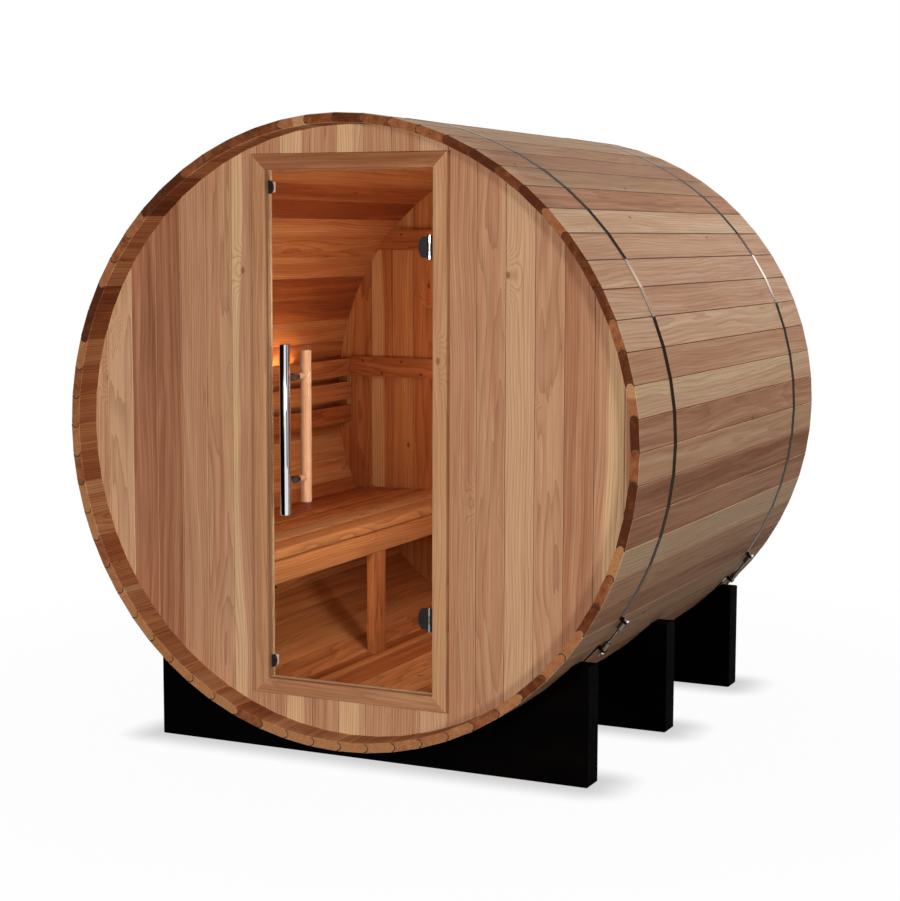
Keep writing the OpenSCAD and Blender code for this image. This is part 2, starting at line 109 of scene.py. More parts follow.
def spaced(low: float, high: float, size: float, count: int) -> Array:
    """Starts of pieces of one size that are spread evenly over a span, from end to end."""
    return np.linspace(low, high - size, count)


def show(thing: bpy.types.Object, seen: bool, *rays: str) -> None:
    """Shows an object to some kinds of rays, or hides it from them."""
    for ray in rays:
        setattr(thing, f"visible_{ray}", seen)


class Run(Enum):
    """One of the frame's axes, such as the one that a board's grain follows, as its index."""

    X = 0
    Y = 1
    Z = 2

    def axes(self) -> tuple[Array, Array, Array]:
        """Unit vectors along the grain, across it and through it, right-handed."""
        turned = np.roll(np.eye(3), -self.value, axis=0)
        return turned[0], turned[1], turned[2]


def part(low: Array, high: Array, axis: Run, start: float, stop: float) -> tuple[Array, Array]:
    """The part of a box that lies between two places on one axis.

    Args:
        low: Lowest corner of the box.
        high: Highest corner of the box.
        axis: The axis.
        start: Where the part starts on it.
        stop: Where the part stops on it.

    Returns:
        The lowest and the highest corner of the part.
    """
    first, last = low.copy(), high.copy()
    first[axis.value], last[axis.value] = start, stop
    return first, last


class Face(Enum):
    """Finish slot of a surface on a piece."""

    OUT = 0
    IN = 1
    END = 2
    # Painted shade along one side of a groove or seam, and along the edges of the eased stave ends.
    SEAM = 3
    # Painted highlight along the other side of a groove or seam, where a bevel would catch the lamps.
    PAINTED_HIGHLIGHT = 4
    RIM = 5


@dataclass(frozen=True)
class Placing:
    """A local frame: its origin and its unit vectors along, across and through a piece."""

    origin: Array
    along: Array
    across: Array
    through: Array

    @classmethod
    def along_y(cls, x: float = 0.0, z: float = 0.0, y: float = 0.0) -> "Placing":
        """A frame at a point that runs along Y, with X across and Z through."""
        return cls(np.array([x, y, z]), Y, X, Z)

    @classmethod
    def along_z(cls, x: float, y: float, z: float = 0.0) -> "Placing":
        """A frame at a point that runs along Z, with X across and Y through."""
        return cls(np.array([x, y, z]), Z, X, Y)

    def handed(self) -> float:
        """Plus one for a right-handed frame, minus one for a left-handed one."""
        return float(np.sign(np.dot(self.along, np.cross(self.across, self.through))))

    def to_space(self, local: Array) -> Array:
        """Points in space, from an array whose last axis holds their three local coordinates."""
        return self.origin + local @ np.stack([self.along, self.across, self.through])


@dataclass(frozen=True)
class Cut:
    """How one board was sawn from its log.

    Attributes:
        tone: From 0, pale, to 1, brown.
        sap: Distance from the heart of the log at which the pale sapwood begins, or NO_SAP.
        start: Place of the board along its log.
        heart: Place of the heart of the log, across and through the board.
    """

    tone: float
    sap: float
    start: float
    heart: Pair

    def about(self, across: float, through: float) -> "Cut":
        """The same cut with its heart placed from a point across and through the board."""
        return replace(self, heart=(self.heart[0] - across, self.heart[1] - through))


PLAIN = Cut(0.5, NO_SAP, 0.0, (0.0, 0.1))


class Sawmill:
    """Draws boards from a seeded pile of logs.

    Attributes:
        FAR: Least and greatest distance of the log's heart from an upright board.
        NEARER: Share of that distance for a board sawn flat.
        OFF: Standard deviation of the heart's place the other way.
        SAP_FROM: Least and greatest place where sapwood begins, from the middle of the board.
        LENGTH: Length of a log.
    """

    FAR: Pair = (0.07, 0.24)
    NEARER: float = 0.55
    OFF: float = 0.022
    SAP_FROM: Pair = (-0.02, 0.03)
    LENGTH: float = 40.0

    def __init__(self, seed: int) -> None:
        """Starts the pile with the seed of its random draws."""
        self.draw = np.random.default_rng(seed)

    def cut(self, tone: float, spread: float, sap_share: float, flat_share: float) -> Cut:
        """Draws one board.

        Args:
            tone: Middle tone of the pile.
            spread: Standard deviation of the tone.
            sap_share: Share of the boards sawn upright that hold some sapwood.
            flat_share: Share of the boards that are sawn flat, with arched grain.

        Returns:
            The board's cut.
        """
        side = self.draw.choice([-1.0, 1.0], 2)
        far = self.draw.uniform(*self.FAR)
        near = self.draw.normal(0.0, self.OFF)
        flat = self.draw.random() < flat_share
        heart = (near, side[1] * far * self.NEARER) if flat else (side[0] * far, near)
        rim = math.hypot(*heart) + self.draw.uniform(*self.SAP_FROM)
        sap = rim if not flat and self.draw.random() < sap_share else NO_SAP
        share = kept(self.draw.normal(tone, spread))
        return Cut(share, sap, float(self.draw.uniform(0, self.LENGTH)), heart)


class Graph:
    """Short hand for the node tree of one material or world."""

    def __init__(self, name: str, owners: Any = None) -> None:
        """Makes an empty material, or a world.

        Args:
            name: Name of the material.
            owners: Collection of the file's data that it goes to, the materials if none is given.
        """
        self.material = (bpy.data.materials if owners is None else owners).new(name)
        self.material.use_nodes = True
        self.tree = self.material.node_tree
        self.tree.nodes.clear()

    def feed(self, socket: Any, value: Any) -> None:
        """Links a socket to another one, or sets its plain value.

        Args:
            socket: The input socket.
            value: An output socket, a number, or a tuple.
        """
        if isinstance(value, Socket):
            self.tree.links.new(value, socket)
        else:
            socket.default_value = value

    def node(self, kind: str, inputs: dict[Any, Any], **settings: Any) -> bpy.types.Node:
        """Adds one node.

        Args:
            kind: The node's type.
            inputs: Values or links by socket name or index.
            settings: Properties of the node.

        Returns:
            The node.
        """
        made = self.tree.nodes.new(kind)
        for key, value in settings.items():
            setattr(made, key, value)
        for key, value in inputs.items():
            self.feed(made.inputs[key], value)
        return made

    def math(self, operation: str, *values: Any) -> Socket:
        """A Math node's result for up to three values."""
        return self.node("ShaderNodeMath", dict(enumerate(values)), operation=operation).outputs[0]

    def vector(self, operation: str, *values: Any) -> Socket:
        """A Vector Math node's result, which is a number for a length and else a vector."""
        made = self.node("ShaderNodeVectorMath", dict(enumerate(values)), operation=operation)
        return made.outputs["Value" if operation == "LENGTH" else "Vector"]

    def scaled(self, vector: Any, factors: Triple) -> Socket:
        """A vector times a factor on each axis."""
        return self.vector("MULTIPLY", vector, factors)

    def place(self) -> Socket:
        """The place in the object's own coordinates."""
        return self.node("ShaderNodeTexCoord", {}).outputs["Object"]

    def noise(self, vector: Any, detail: float, rough: float = 0.5, output: int = 0) -> Socket:
        """A noise on a vector that already has its scale, as a number or, from output 1, a colour."""
        sockets = {"Vector": vector, "Scale": 1.0, "Detail": detail, "Roughness": rough}
        return self.node("ShaderNodeTexNoise", sockets).outputs[output]

    def mixed(self, factor: Any, first: Any, second: Any, blend: str = "MIX") -> Socket:
        """Two colours mixed by a factor."""
        sockets = {0: factor, 6: first, 7: second}
        return self.node("ShaderNodeMix", sockets, data_type="RGBA", blend_type=blend).outputs[2]

    def eased(self, value: Any, low: float, high: float, bottom: float, top: float) -> Socket:
        """A value taken smoothly from one range to another."""
        sockets = {"Value": value, "From Min": low, "From Max": high, "To Min": bottom, "To Max": top}
        return self.node("ShaderNodeMapRange", sockets, interpolation_type="SMOOTHSTEP").outputs[0]

    def ramp(self, factor: Any, stops: Sequence[tuple[float, Colour]]) -> Socket:
        """A colour read from a row of stops.

        Args:
            factor: Place along the row.
            stops: Places and their colours, in order.

        Returns:
            The colour socket.
        """
        made = self.node("ShaderNodeValToRGB", {0: factor})
        points = made.color_ramp.elements
        while len(points) < len(stops):
            points.new(1.0)
        for point, (place, colour) in zip(points, stops):
            point.position = place
            point.color = colour
        return made.outputs[0]

    def bump(self, height: Any, strength: float, distance: float) -> Socket:
        """A normal that follows a height."""
        sockets = {"Strength": strength, "Distance": distance, "Height": height}
        return self.node("ShaderNodeBump", sockets).outputs[0]

    def surface(self, **sockets: Any) -> bpy.types.Node:
        """A Principled shader; underscores in the names stand for spaces."""
        named = {key.replace("_", " "): value for key, value in sockets.items()}
        return self.node("ShaderNodeBsdfPrincipled", named)

    def done(self, shader: bpy.types.Node, output: str = "ShaderNodeOutputMaterial") -> Any:
        """Puts a shader on the output and gives the material or world."""
        self.node(output, {"Surface": shader.outputs[0]})
        return self.material


@dataclass(frozen=True)
class Wood:
    """Planed wood whose rings and streaks follow the boards' own grain.

    Attributes:
        name: Name of the material.
        tones: Colours from pale to brown.
        line: Colour of the late wood that ends each ring.
        sap: Colour of the sapwood.
        line_share: How much the late wood shows.
        streak_share: How far the streaks shift the tone.
        ring_gap: Width of a ring.
        rough: Roughness.
        sheen: Strength of the reflection.
        knots: Share of the patches of wood that hold a knot.
        fine: Fibres to the metre across the grain.
        fine_share: How much the fibres show.
        sharp: How sharply the late wood ends.
        stops: Tones at which the four colours stand.
        sway: Stretch of the noise that bends the grain.
        bend: How far that noise bends it.
        drift: Stretch of the noise that makes the rings uneven.
        uneven: How far that noise moves the rings, in rings.
        streaks: Stretch of the streaks.
        sap_edge: Where the sapwood's colour comes in, from before its edge to past it.
        sap_cover: How much the sapwood's colour covers.
        knot_edge: Radii between which a knot's colour ends.
        knot_swirl: How far the rings swirl round a knot, and by how many rings.
        knot_cover: How much a knot's colour covers.
        patches: Patches of wood to the metre along the grain, across it and through it.
        relief: Strength and depth of the surface's relief.
    """

    name: str
    tones: tuple[Colour, Colour, Colour, Colour]
    line: Colour
    sap: Colour
    line_share: float = 0.42
    streak_share: float = 1.0
    ring_gap: float = 0.0085
    rough: float = 0.6
    sheen: float = 0.03
    knots: float = 0.12
    fine: float = 420.0
    fine_share: float = 0.2
    sharp: float = 2.6
    stops: tuple[float, ...] = (0.08, 0.38, 0.66, 0.95)
    sway: Triple = (1.1, 5.0, 5.0)
    bend: float = 0.075
    drift: Triple = (1.4, 26.0, 26.0)
    uneven: float = 2.6
    streaks: Triple = (0.7, 42.0, 42.0)
    sap_edge: Pair = (-0.003, 0.006)
    sap_cover: float = 0.85
    knot_edge: Pair = (0.004, 0.0075)
    knot_swirl: Pair = (0.05, 5.0)
    knot_cover: float = 0.75
    patches: Triple = (2.6, 9.0, 4.0)
    relief: Pair = (0.22, 0.0009)

    def knot(self, g: Graph, grain: Any) -> tuple[Any, Any]:
        """Sparse knots: a mask that is one inside a knot, and the swirl of the rings round it.

        A Voronoi texture drawn out along the grain parts the wood into patches, and some of them hold a
        knot at their own point. The distance from that point, shortened along the grain, sets both.

        Args:
            g: The material's node tree.
            grain: Place in the board.

        Returns:
            The sockets of the mask and of the swirl, in rings.
        """
        place = g.scaled(grain, self.patches)
        patch = g.node("ShaderNodeTexVoronoi", {"Vector": place, "Scale": 1.0})
        away = g.vector("SUBTRACT", place, patch.outputs["Position"])
        level = g.scaled(away, (0.55 / self.patches[0], 1.0 / self.patches[1], 0.0))
        far = g.vector("LENGTH", level)
        chance = g.node("ShaderNodeSeparateColor", {0: patch.outputs["Color"]}).outputs[0]
        held = g.math("GREATER_THAN", chance, 1.0 - self.knots)
        mask = g.math("MULTIPLY", held, g.eased(far, *self.knot_edge, 1.0, 0.0))
        return mask, g.math("MULTIPLY", held, g.eased(far, 0.0, *self.knot_swirl, 0.0))

    def material(self) -> Material:
        """Builds the material from the attributes grain and cut.

        Rings are the fraction of the distance from the log's heart over the ring gap, bent by a slow
        noise along the grain. Streaks and fibres are noises drawn out along the grain.

        Returns:
            The material.
        """
        g = Graph(self.name)
        grain = g.node("ShaderNodeAttribute", {}, attribute_name="grain").outputs["Vector"]
        cut = g.node("ShaderNodeAttribute", {}, attribute_name="cut").outputs["Color"]
        split = g.node("ShaderNodeSeparateColor", {0: cut})
        tone, sap_at = split.outputs[0], split.outputs[1]
        sway = g.noise(g.scaled(grain, self.sway), 2.0, output=1)
        centred = g.vector("SUBTRACT", sway, (0.5, 0.5, 0.5))
        bent = g.vector("ADD", grain, g.scaled(centred, (0.0, self.bend, self.bend)))
        reach = g.vector("LENGTH", g.scaled(bent, (0.0, 1.0, 1.0)))
        drift = g.noise(g.scaled(grain, self.drift), 2.0)
        knot, swirl = self.knot(g, grain)
        rings = g.math("ADD", g.math("DIVIDE", reach, self.ring_gap), swirl)
        moved = g.math("MULTIPLY_ADD", drift, self.uneven, rings)
        late = g.math("POWER", g.math("FRACT", moved), self.sharp)
        streak = g.noise(g.scaled(bent, self.streaks), 5.0, 0.66)
        fibre = g.noise(g.scaled(grain, (6.0, self.fine, self.fine)), 2.0)
        shift = g.math("MULTIPLY_ADD", streak, self.streak_share, -0.5 * self.streak_share)
        base = g.ramp(g.math("ADD", tone, shift), list(zip(self.stops, self.tones)))
        edge = g.math("SUBTRACT", reach, sap_at)
        pale = g.mixed(g.eased(edge, *self.sap_edge, 0.0, self.sap_cover), base, self.sap)
        ringed = g.mixed(g.math("MULTIPLY", late, self.line_share), pale, self.line)
        grey = g.eased(fibre, 0.25, 0.75, 1.0 - self.fine_share * 0.6, 1.0 + self.fine_share * 0.4)
        shade = g.node("ShaderNodeCombineColor", {0: grey, 1: grey, 2: grey}).outputs[0]
        fibrous = g.mixed(1.0, ringed, shade, "MULTIPLY")
        colour = g.mixed(g.math("MULTIPLY", knot, self.knot_cover), fibrous, self.line)
        gloss = g.eased(streak, 0.2, 0.8, self.rough - 0.07, self.rough + 0.09)
        height = g.math("MULTIPLY_ADD", late, -0.7, fibre)
        normal = g.bump(height, *self.relief)
        shader = g.surface(Base_Color=colour, Roughness=gloss, Normal=normal, Specular_IOR_Level=self.sheen)
        return g.done(shader)


@dataclass(frozen=True)
class Paint:
    """Brushed paint on timber, with the grain telegraphing through.

    Attributes:
        name: Name of the material.
        colour: Colour of the paint.
        worn: Colour where the paint is thin.
        rough: Roughness.
    """

    name: str
    colour: Colour
    worn: Colour
    rough: float

    def material(self) -> Material:
        """Builds the material on Object coordinates, with the grain along X.

        Returns:
            The material.
        """
        g = Graph(self.name)
        place = g.place()
        grain = g.noise(g.scaled(place, (2.2, 60.0, 60.0)), 4.0, 0.6)
        patch = g.noise(g.scaled(place, (3.0, 7.0, 7.0)), 3.0)
        colour = g.mixed(g.eased(patch, 0.45, 0.8, 0.0, 0.75), self.colour, self.worn)
        gloss = g.eased(grain, 0.3, 0.7, self.rough - 0.08, self.rough + 0.1)
        normal = g.bump(grain, 0.35, 0.0012)
        shader = g.surface(Base_Color=colour, Roughness=gloss, Normal=normal, Specular_IOR_Level=0.004)
        return g.done(shader)


@dataclass(frozen=True)
class Metal:
    """Bare metal, polished or brushed.

    Attributes:
        name: Name of the material.
        colour: Colour of the metal.
        rough: Roughness.
        brushed: Stretch of the brush marks on each axis.
        marks: How far the brush marks change the roughness.
        glancing: Brightness of the reflection at a flat angle.
    """

    name: str
    colour: Colour
    rough: float
    brushed: Triple
    marks: float
    glancing: float = 1.0

    def material(self) -> Material:
        """Builds the material on Object coordinates.

        Returns:
            The material.
        """
        g = Graph(self.name)
        brush = g.noise(g.scaled(g.place(), self.brushed), 3.0, 0.6)
        gloss = g.eased(brush, 0.25, 0.75, max(self.rough - self.marks, 0.02), self.rough + self.marks)
        normal = g.bump(brush, 0.05, 0.0003)
        tint = (self.glancing, self.glancing, self.glancing, 1.0)
        shader = g.surface(
            Base_Color=self.colour, Metallic=1.0, Roughness=gloss, Normal=normal, Specular_Tint=tint
        )
        return g.done(shader)


@dataclass(frozen=True)
class Moulded:
    """Moulded or coated surface with a faint texture.

    Attributes:
        name: Name of the material.
        colour: Its colour.
        rough: Roughness.
        grit: Grains to the metre.
        strength: Strength of the texture.
    """

    name: str
    colour: Colour
    rough: float
    grit: float
    strength: float

    def material(self) -> Material:
        """Builds the material on Object coordinates.

        Returns:
            The material.
        """
        g = Graph(self.name)
        grain = g.noise(g.scaled(g.place(), (self.grit, self.grit, self.grit)), 2.0)
        gloss = g.eased(grain, 0.3, 0.7, self.rough - 0.06, self.rough + 0.08)
        normal = g.bump(grain, self.strength, 0.0004)
        return g.done(g.surface(Base_Color=self.colour, Roughness=gloss, Normal=normal))


@dataclass(frozen=True)
class Pane:
    """Clear tempered glass that lets lamps through.

    Attributes:
        name: Name of the material.
        tint: Tint of the glass.
    """

    name: str
    tint: Colour

    def material(self) -> Material:
        """Builds the material: glass to the eye, and clear to the rays from lamps.

        Returns:
            The material.
        """
        g = Graph(self.name)
        glass = g.surface(Base_Color=self.tint, Roughness=0.0, IOR=1.45, Transmission_Weight=1.0)
        clear = g.node("ShaderNodeBsdfTransparent", {"Color": self.tint})
        ray = g.node("ShaderNodeLightPath", {}).outputs["Is Shadow Ray"]
        mix = g.node("ShaderNodeMixShader", {0: ray, 1: glass.outputs[0], 2: clear.outputs[0]})
        return g.done(mix)


@dataclass(frozen=True)
class Glow:
    """A milky strip that shines upwards.

    Attributes:
        name: Name of the material.
        colour: Colour of its light.
        strength: Strength of its light.
    """

    name: str
    colour: Colour
    strength: float

    def material(self) -> Material:
        """Builds the material, which shines where its surface faces up.

        Returns:
            The material.
        """
        g = Graph(self.name)
        facing = g.node("ShaderNodeNewGeometry", {}).outputs["Normal"]
        upward = g.math("GREATER_THAN", g.node("ShaderNodeSeparateXYZ", {0: facing}).outputs[2], 0.5)
        strength = g.math("MULTIPLY", upward, self.strength)
        shader = g.surface(
            Base_Color=self.colour, Roughness=0.6, Emission_Color=self.colour, Emission_Strength=strength
        )
        return g.done(shader)


class Finishes:
    """Every finish of the sauna, built once."""

    def __init__(self) -> None:
        """Builds the materials."""
        self.outside = Wood(
            "outside_cedar",
            (srgb(198, 166, 135), srgb(184, 146, 114), srgb(170, 124, 95), srgb(132, 88, 64)),
            srgb(120, 78, 56), srgb(198, 168, 134), line_share=0.36, ring_gap=0.0105,
        ).material()
        self.wall = Wood(
            "wall_cedar",
            (srgb(201, 160, 124), srgb(187, 140, 107), srgb(171, 118, 88), srgb(138, 88, 63)),
            srgb(124, 76, 53), srgb(214, 176, 134), line_share=0.4, streak_share=1.3,
        ).material()
        # Painted shade and warm light: the cabin's cedar is darker and more orange than the same cedar
        # outside the walls.
        self.cabin = Wood(
            "cabin_cedar",
            (srgb(200, 132, 78), srgb(184, 110, 60), srgb(162, 85, 43), srgb(134, 63, 30)),
            srgb(92, 39, 17), srgb(206, 148, 94), line_share=0.46, streak_share=1.2, sharp=3.0,
        ).material()
        self.rim = Wood(
            "rim_cedar",
            (srgb(210, 158, 114), srgb(188, 126, 85), srgb(160, 95, 60), srgb(110, 60, 36)),
            srgb(96, 50, 29), srgb(212, 166, 120), line_share=0.5,
        ).material()
        self.end = Wood(
            "end_grain",
            (srgb(178, 124, 82), srgb(158, 100, 64), srgb(122, 69, 40), srgb(82, 42, 24)),
            srgb(76, 38, 22), srgb(190, 144, 100), line_share=0.45, ring_gap=0.0055, rough=0.72,
            knots=0.0, fine=190.0, fine_share=0.25,
        ).material()
        # Painted highlight: paler wood for the bevels that face the lamps.
        self.painted_highlight = Wood(
            "fresh_edge",
            (srgb(214, 170, 132), srgb(204, 156, 118), srgb(192, 140, 104), srgb(172, 118, 84)),
            srgb(160, 104, 72), srgb(216, 178, 140), line_share=0.2, knots=0.0,
        ).material()
        self.frame = Wood(
            "frame_cedar",
            (srgb(206, 162, 122), srgb(192, 144, 106), srgb(170, 118, 84), srgb(136, 84, 53)),
            srgb(130, 82, 54), srgb(204, 164, 124), line_share=0.38, streak_share=1.2, knots=0.04,
        ).material()
        self.grip = Wood(
            "grip_wood",
            (srgb(200, 148, 112), srgb(192, 138, 102), srgb(180, 124, 90), srgb(162, 106, 74)),
            srgb(156, 102, 70), srgb(204, 156, 118), line_share=0.25, streak_share=0.3, knots=0.0,
        ).material()
        self.paint = Paint("cradle_paint", srgb(4, 3, 3), srgb(11, 7, 5), 0.66).material()
        self.chrome = Metal("polished_steel", srgb(226, 227, 228), 0.07, (40.0, 40.0, 12.0), 0.03).material()
        self.pin = Metal("hinge_steel", srgb(138, 138, 140), 0.14, (40.0, 40.0, 12.0), 0.04).material()
        self.bolt = Metal("bolt_steel", srgb(112, 104, 94), 0.22, (60.0, 60.0, 60.0), 0.06, 0.3).material()
        self.band = Metal("band_steel", srgb(62, 53, 44), 0.12, (30.0, 900.0, 30.0), 0.04, 0.42).material()
        self.black = Moulded("black_metal", srgb(7, 7, 7), 0.32, 900.0, 0.06).material()
        self.ivory = Moulded("ivory_plastic", srgb(206, 180, 172), 0.5, 700.0, 0.05).material()
        # Painted shade: dark brown for the bevels of grooves and seams.
        self.seam = Moulded("seam_shadow", srgb(74, 46, 31), 0.75, 300.0, 0.1).material()
        # Painted shade: near black for the screw holes and the ring round the deck's plug.
        self.hole = Moulded("screw_hole", srgb(22, 11, 7), 0.7, 500.0, 0.1).material()
        self.rim_glass = Moulded("glass_edge", srgb(150, 124, 94), 0.3, 200.0, 0.02).material()
        self.glass = Pane("clear_glass", (0.965, 0.98, 0.972, 1.0)).material()
        self.glow = Glow("warm_light", (1.0, 0.76, 0.42, 1.0), 120.0).material()

    def grooved(self, out: Material) -> list[Material]:
        """Slots of a grooved board: outside, cabin side, end grain, and a groove's painted shade and
        highlight.
        """
        return [out, self.cabin, self.end, self.seam, self.painted_highlight]

    def staves(self) -> list[Material]:
        """Slots of the staves: those of a grooved board, then the rim."""
        return [*self.grooved(self.outside), self.rim]


def inset(profile: Array, amount: float) -> Array:
    """A closed outline moved inwards.

    Each point moves along the sum of the inward normals of its two edges over one plus their product,
    which keeps both edges at the same distance.

    Args:
        profile: Outline, as points across and through, counter-clockwise.
        amount: Distance inwards.

    Returns:
        The moved outline.
    """
    step = np.roll(profile, -1, axis=0) - profile
    step = step / np.maximum(np.linalg.norm(step, axis=1, keepdims=True), 1e-9)
    inward = np.stack([-step[:, 1], step[:, 0]], axis=1)
    before = np.roll(inward, 1, axis=0)
    join = 1.0 + np.sum(inward * before, axis=1, keepdims=True)
    return profile + amount * (inward + before) / np.maximum(join, 0.4)


def signed_area(profile: Array) -> float:
    """Area of a closed outline, positive when it runs counter-clockwise."""
    x, y = profile[:, 0], profile[:, 1]
    return 0.5 * float(np.sum(x * np.roll(y, -1) - y * np.roll(x, -1)))


def arc(centre: Array, radius: float, first: float, last: float, count: int) -> Array:
    """Points at equal steps of angle round a centre.

    Args:
        centre: Centre of the arc.
        radius: Radius of the arc.
        first: Angle of the first point, in degrees.
        last: Angle of the last point, in degrees.
        count: Number of points.

    Returns:
        The points as rows.
    """
    turn = np.radians(np.linspace(first, last, count))
    return np.asarray(centre) + radius * np.stack([np.cos(turn), np.sin(turn)], axis=1)


def round_rectangle(width: float, depth: float, radii: float | Sequence[float], count: int = 4) -> Array:
    """A rectangle about the origin with a quarter arc at each corner.

    Args:
        width: Size across.
        depth: Size through.
        radii: One radius, or one for each corner from plus-plus round counter-clockwise.
        count: Points on each arc.

    Returns:
        The outline, counter-clockwise.
    """
    each = np.broadcast_to(np.asarray(radii, float), 4)
    signs = np.array([[1, 1], [-1, 1], [-1, -1], [1, -1]])
    half = np.array([width, depth]) / 2
    return np.concatenate(
        [arc(s * (half - r), r, 90 * i, 90 * i + 90, count) for i, (s, r) in enumerate(zip(signs, each))]
    )


class Piece:
    """Surfaces gathered into one mesh, with the grain and the cut of each board as attributes.

    Attributes:
        END_EASE: Greatest eased edge at the ends of a board.
        SHARP: Least angle between two faces at which their edge shows as sharp.
    """

    END_EASE: float = 0.0015
    SHARP: float = math.radians(38)

    def __init__(self, name: str, finishes: Sequence[Material]) -> None:
        """Starts an empty piece.

        Args:
            name: Name of the object.
            finishes: Materials in the order of the slots.
        """
        self.name = name
        self.finishes = list(finishes)
        self.points: list[Array] = []
        self.grain: list[Array] = []
        self.cuts: list[Array] = []
        self.faces: list[list[int]] = []
        self.slots: list[int] = []
        self.count = 0

    def _take(self, points: Array, grain: Array, cut: Cut) -> Array:
        """Stores vertices with their attributes.

        Args:
            points: The vertices, with their coordinates on the last axis.
            grain: Their places in the board, in the same shape.
            cut: The board's cut.

        Returns:
            The indices of the vertices, in their shape.
        """
        shape = points.shape[:-1]
        number = int(np.prod(shape))
        shift = np.array([cut.start, *cut.heart])
        self.points.append(points.reshape(-1, 3))
        self.grain.append(grain.reshape(-1, 3) + shift)
        self.cuts.append(np.tile([cut.tone, cut.sap, 0.0, 1.0], (number, 1)))
        index = np.arange(self.count, self.count + number).reshape(shape)
        self.count += number
        return index

    def rings(
        self, placing: Placing, local: Array, cut: Cut, side: Array | int, end: int, grain: int = 0,
        cap: Cut | None = None,
    ) -> None:
        """Adds a closed skin through a row of rings, with a cap on the first and the last.

        The surface is the grid of ring against place on the ring. Rings run counter-clockwise seen
        from the far end in a right-handed frame, which turns the faces outwards.

        Args:
            placing: Local frame of the rings.
            local: Array of rings by points by the three local coordinates.
            cut: The board's cut.
            side: Finish slot of the skin, or one slot for each point of a ring.
            end: Finish slot of the caps.
            grain: Index of the local coordinate that the grain follows.
            cap: Cut of the caps, the board's own if none is given.
        """
        space = placing.to_space(local)
        fibre = np.roll(local, -grain, axis=-1)
        index = self._take(space, fibre, cut)
        following = np.roll(index, -1, axis=1)
        quads = np.stack([index[:-1], following[:-1], following[1:], index[1:]], axis=-1)
        self.faces += quads.reshape(-1, 4).tolist()
        self.slots += np.broadcast_to(side, quads.shape[:2]).reshape(-1).tolist()
        low = self._take(space[0], fibre[0], cap or cut)
        high = self._take(space[-1], fibre[-1], cap or cut)
        self.faces += [low[::-1].tolist(), high.tolist()]
        self.slots += [end, end]

    def carried(
        self, placing: Placing, profile: Array, low: float | Array, high: float | Array, cut: Cut = PLAIN,
        ease: float = 0.0, side: Callable[[Array], Array] | int = 0, end: int = 0, grain: int = 0,
    ) -> None:
        """Adds a profile carried along a straight path, with its end edges eased.

        The surface is the profile's points against the path, from low to high at each point, with the
        first and the last ring set in by the ease.

        Args:
            placing: Local frame, its origin on the path.
            profile: Outline across and through.
            low: Where the path starts, for the whole outline or for each point.
            high: Where the path ends, for the whole outline or for each point.
            cut: The board's cut.
            ease: Size of the eased edge at both ends.
            side: Finish slot of the skin, or a rule that gives one for each place across and through.
            end: Finish slot of the ends.
            grain: Index of the local coordinate that the grain follows.
        """
        first = np.broadcast_to(np.asarray(low, float), len(profile))
        last = np.broadcast_to(np.asarray(high, float), len(profile))
        narrow = profile
        if ease > 0:
            turn = np.sign(signed_area(profile))
            narrow = inset(profile, turn * ease)
        if placing.handed() * signed_area(profile) < 0:
            profile, narrow, first, last = profile[::-1], narrow[::-1], first[::-1], last[::-1]
        stations = [(first, narrow), (last, narrow)]
        if ease > 0:
            stations[1:1] = [(first + ease, profile), (last - ease, profile)]
        local = np.stack([np.column_stack([place, outline]) for place, outline in stations])
        middle = (profile + np.roll(profile, -1, axis=0)) / 2
        self.rings(placing, local, cut, side(middle) if callable(side) else side, end, grain)

    def board(self, low: Array, high: Array, run: Run, cut: Cut, ease: float) -> None:
        """Adds a straight board with eased edges between two corners.

        Args:
            low: Lowest corner.
            high: Highest corner.
            run: Direction of the grain.
            cut: The board's cut.
            ease: Radius of the long edges.
        """
        along, across, through = run.axes()
        middle = (low + high) / 2
        size = high - low
        placing = Placing(middle - along * (middle @ along), along, across, through)
        profile = round_rectangle(abs(size @ across), abs(size @ through), ease)
        self.carried(placing, profile, low @ along, high @ along, cut, min(ease, self.END_EASE))

    def turned(self, placing: Placing, stations: Array, sides: int, cut: Cut = PLAIN, slot: int = 0) -> None:
        """Adds a turned shape: a radius at each place along an axis, carried round it.

        Args:
            placing: Local frame with its axis along.
            stations: Rows of place along the axis and radius.
            sides: Number of points round the axis.
            cut: The piece's cut.
            slot: Finish slot.
        """
        turn = np.linspace(0, 2 * math.pi, sides, endpoint=False) * placing.handed()
        place = np.broadcast_to(stations[:, :1], (len(stations), sides))
        radius = stations[:, 1:]
        local = np.stack([place, radius * np.cos(turn), radius * np.sin(turn)], axis=-1)
        self.rings(placing, local, cut, slot, slot)

    def finish(self, body: str, slot: str, replaces: Sequence[str] = ()) -> None:
        """Makes the object and ties it to the frame.

        Args:
            body: CAD body that the piece rides on.
            slot: Material slot of the record; not used.
            replaces: CAD nodes that the piece stands for.
        """
        mesh = bpy.data.meshes.new(self.name)
        mesh.from_pydata(np.concatenate(self.points), [], self.faces)
        grain = mesh.attributes.new("grain", "FLOAT_VECTOR", "POINT")
        grain.data.foreach_set("vector", np.concatenate(self.grain).astype(np.float32).ravel())
        cuts = mesh.attributes.new("cut", "FLOAT_COLOR", "POINT")
        cuts.data.foreach_set("color", np.concatenate(self.cuts).astype(np.float32).ravel())
        for finish in self.finishes:
            mesh.materials.append(finish)
        mesh.polygons.foreach_set("material_index", np.array(self.slots, np.int32))
        mesh.validate()
        mesh.shade_smooth()
        mesh.set_sharp_from_angle(angle=self.SHARP)
        made = bpy.data.objects.new(self.name, mesh)
        bpy.context.scene.collection.objects.link(made)
        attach(made, body)
        if replaces:
            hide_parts(*replaces)
        LOG.info("%s: %d faces", self.name, len(mesh.polygons))


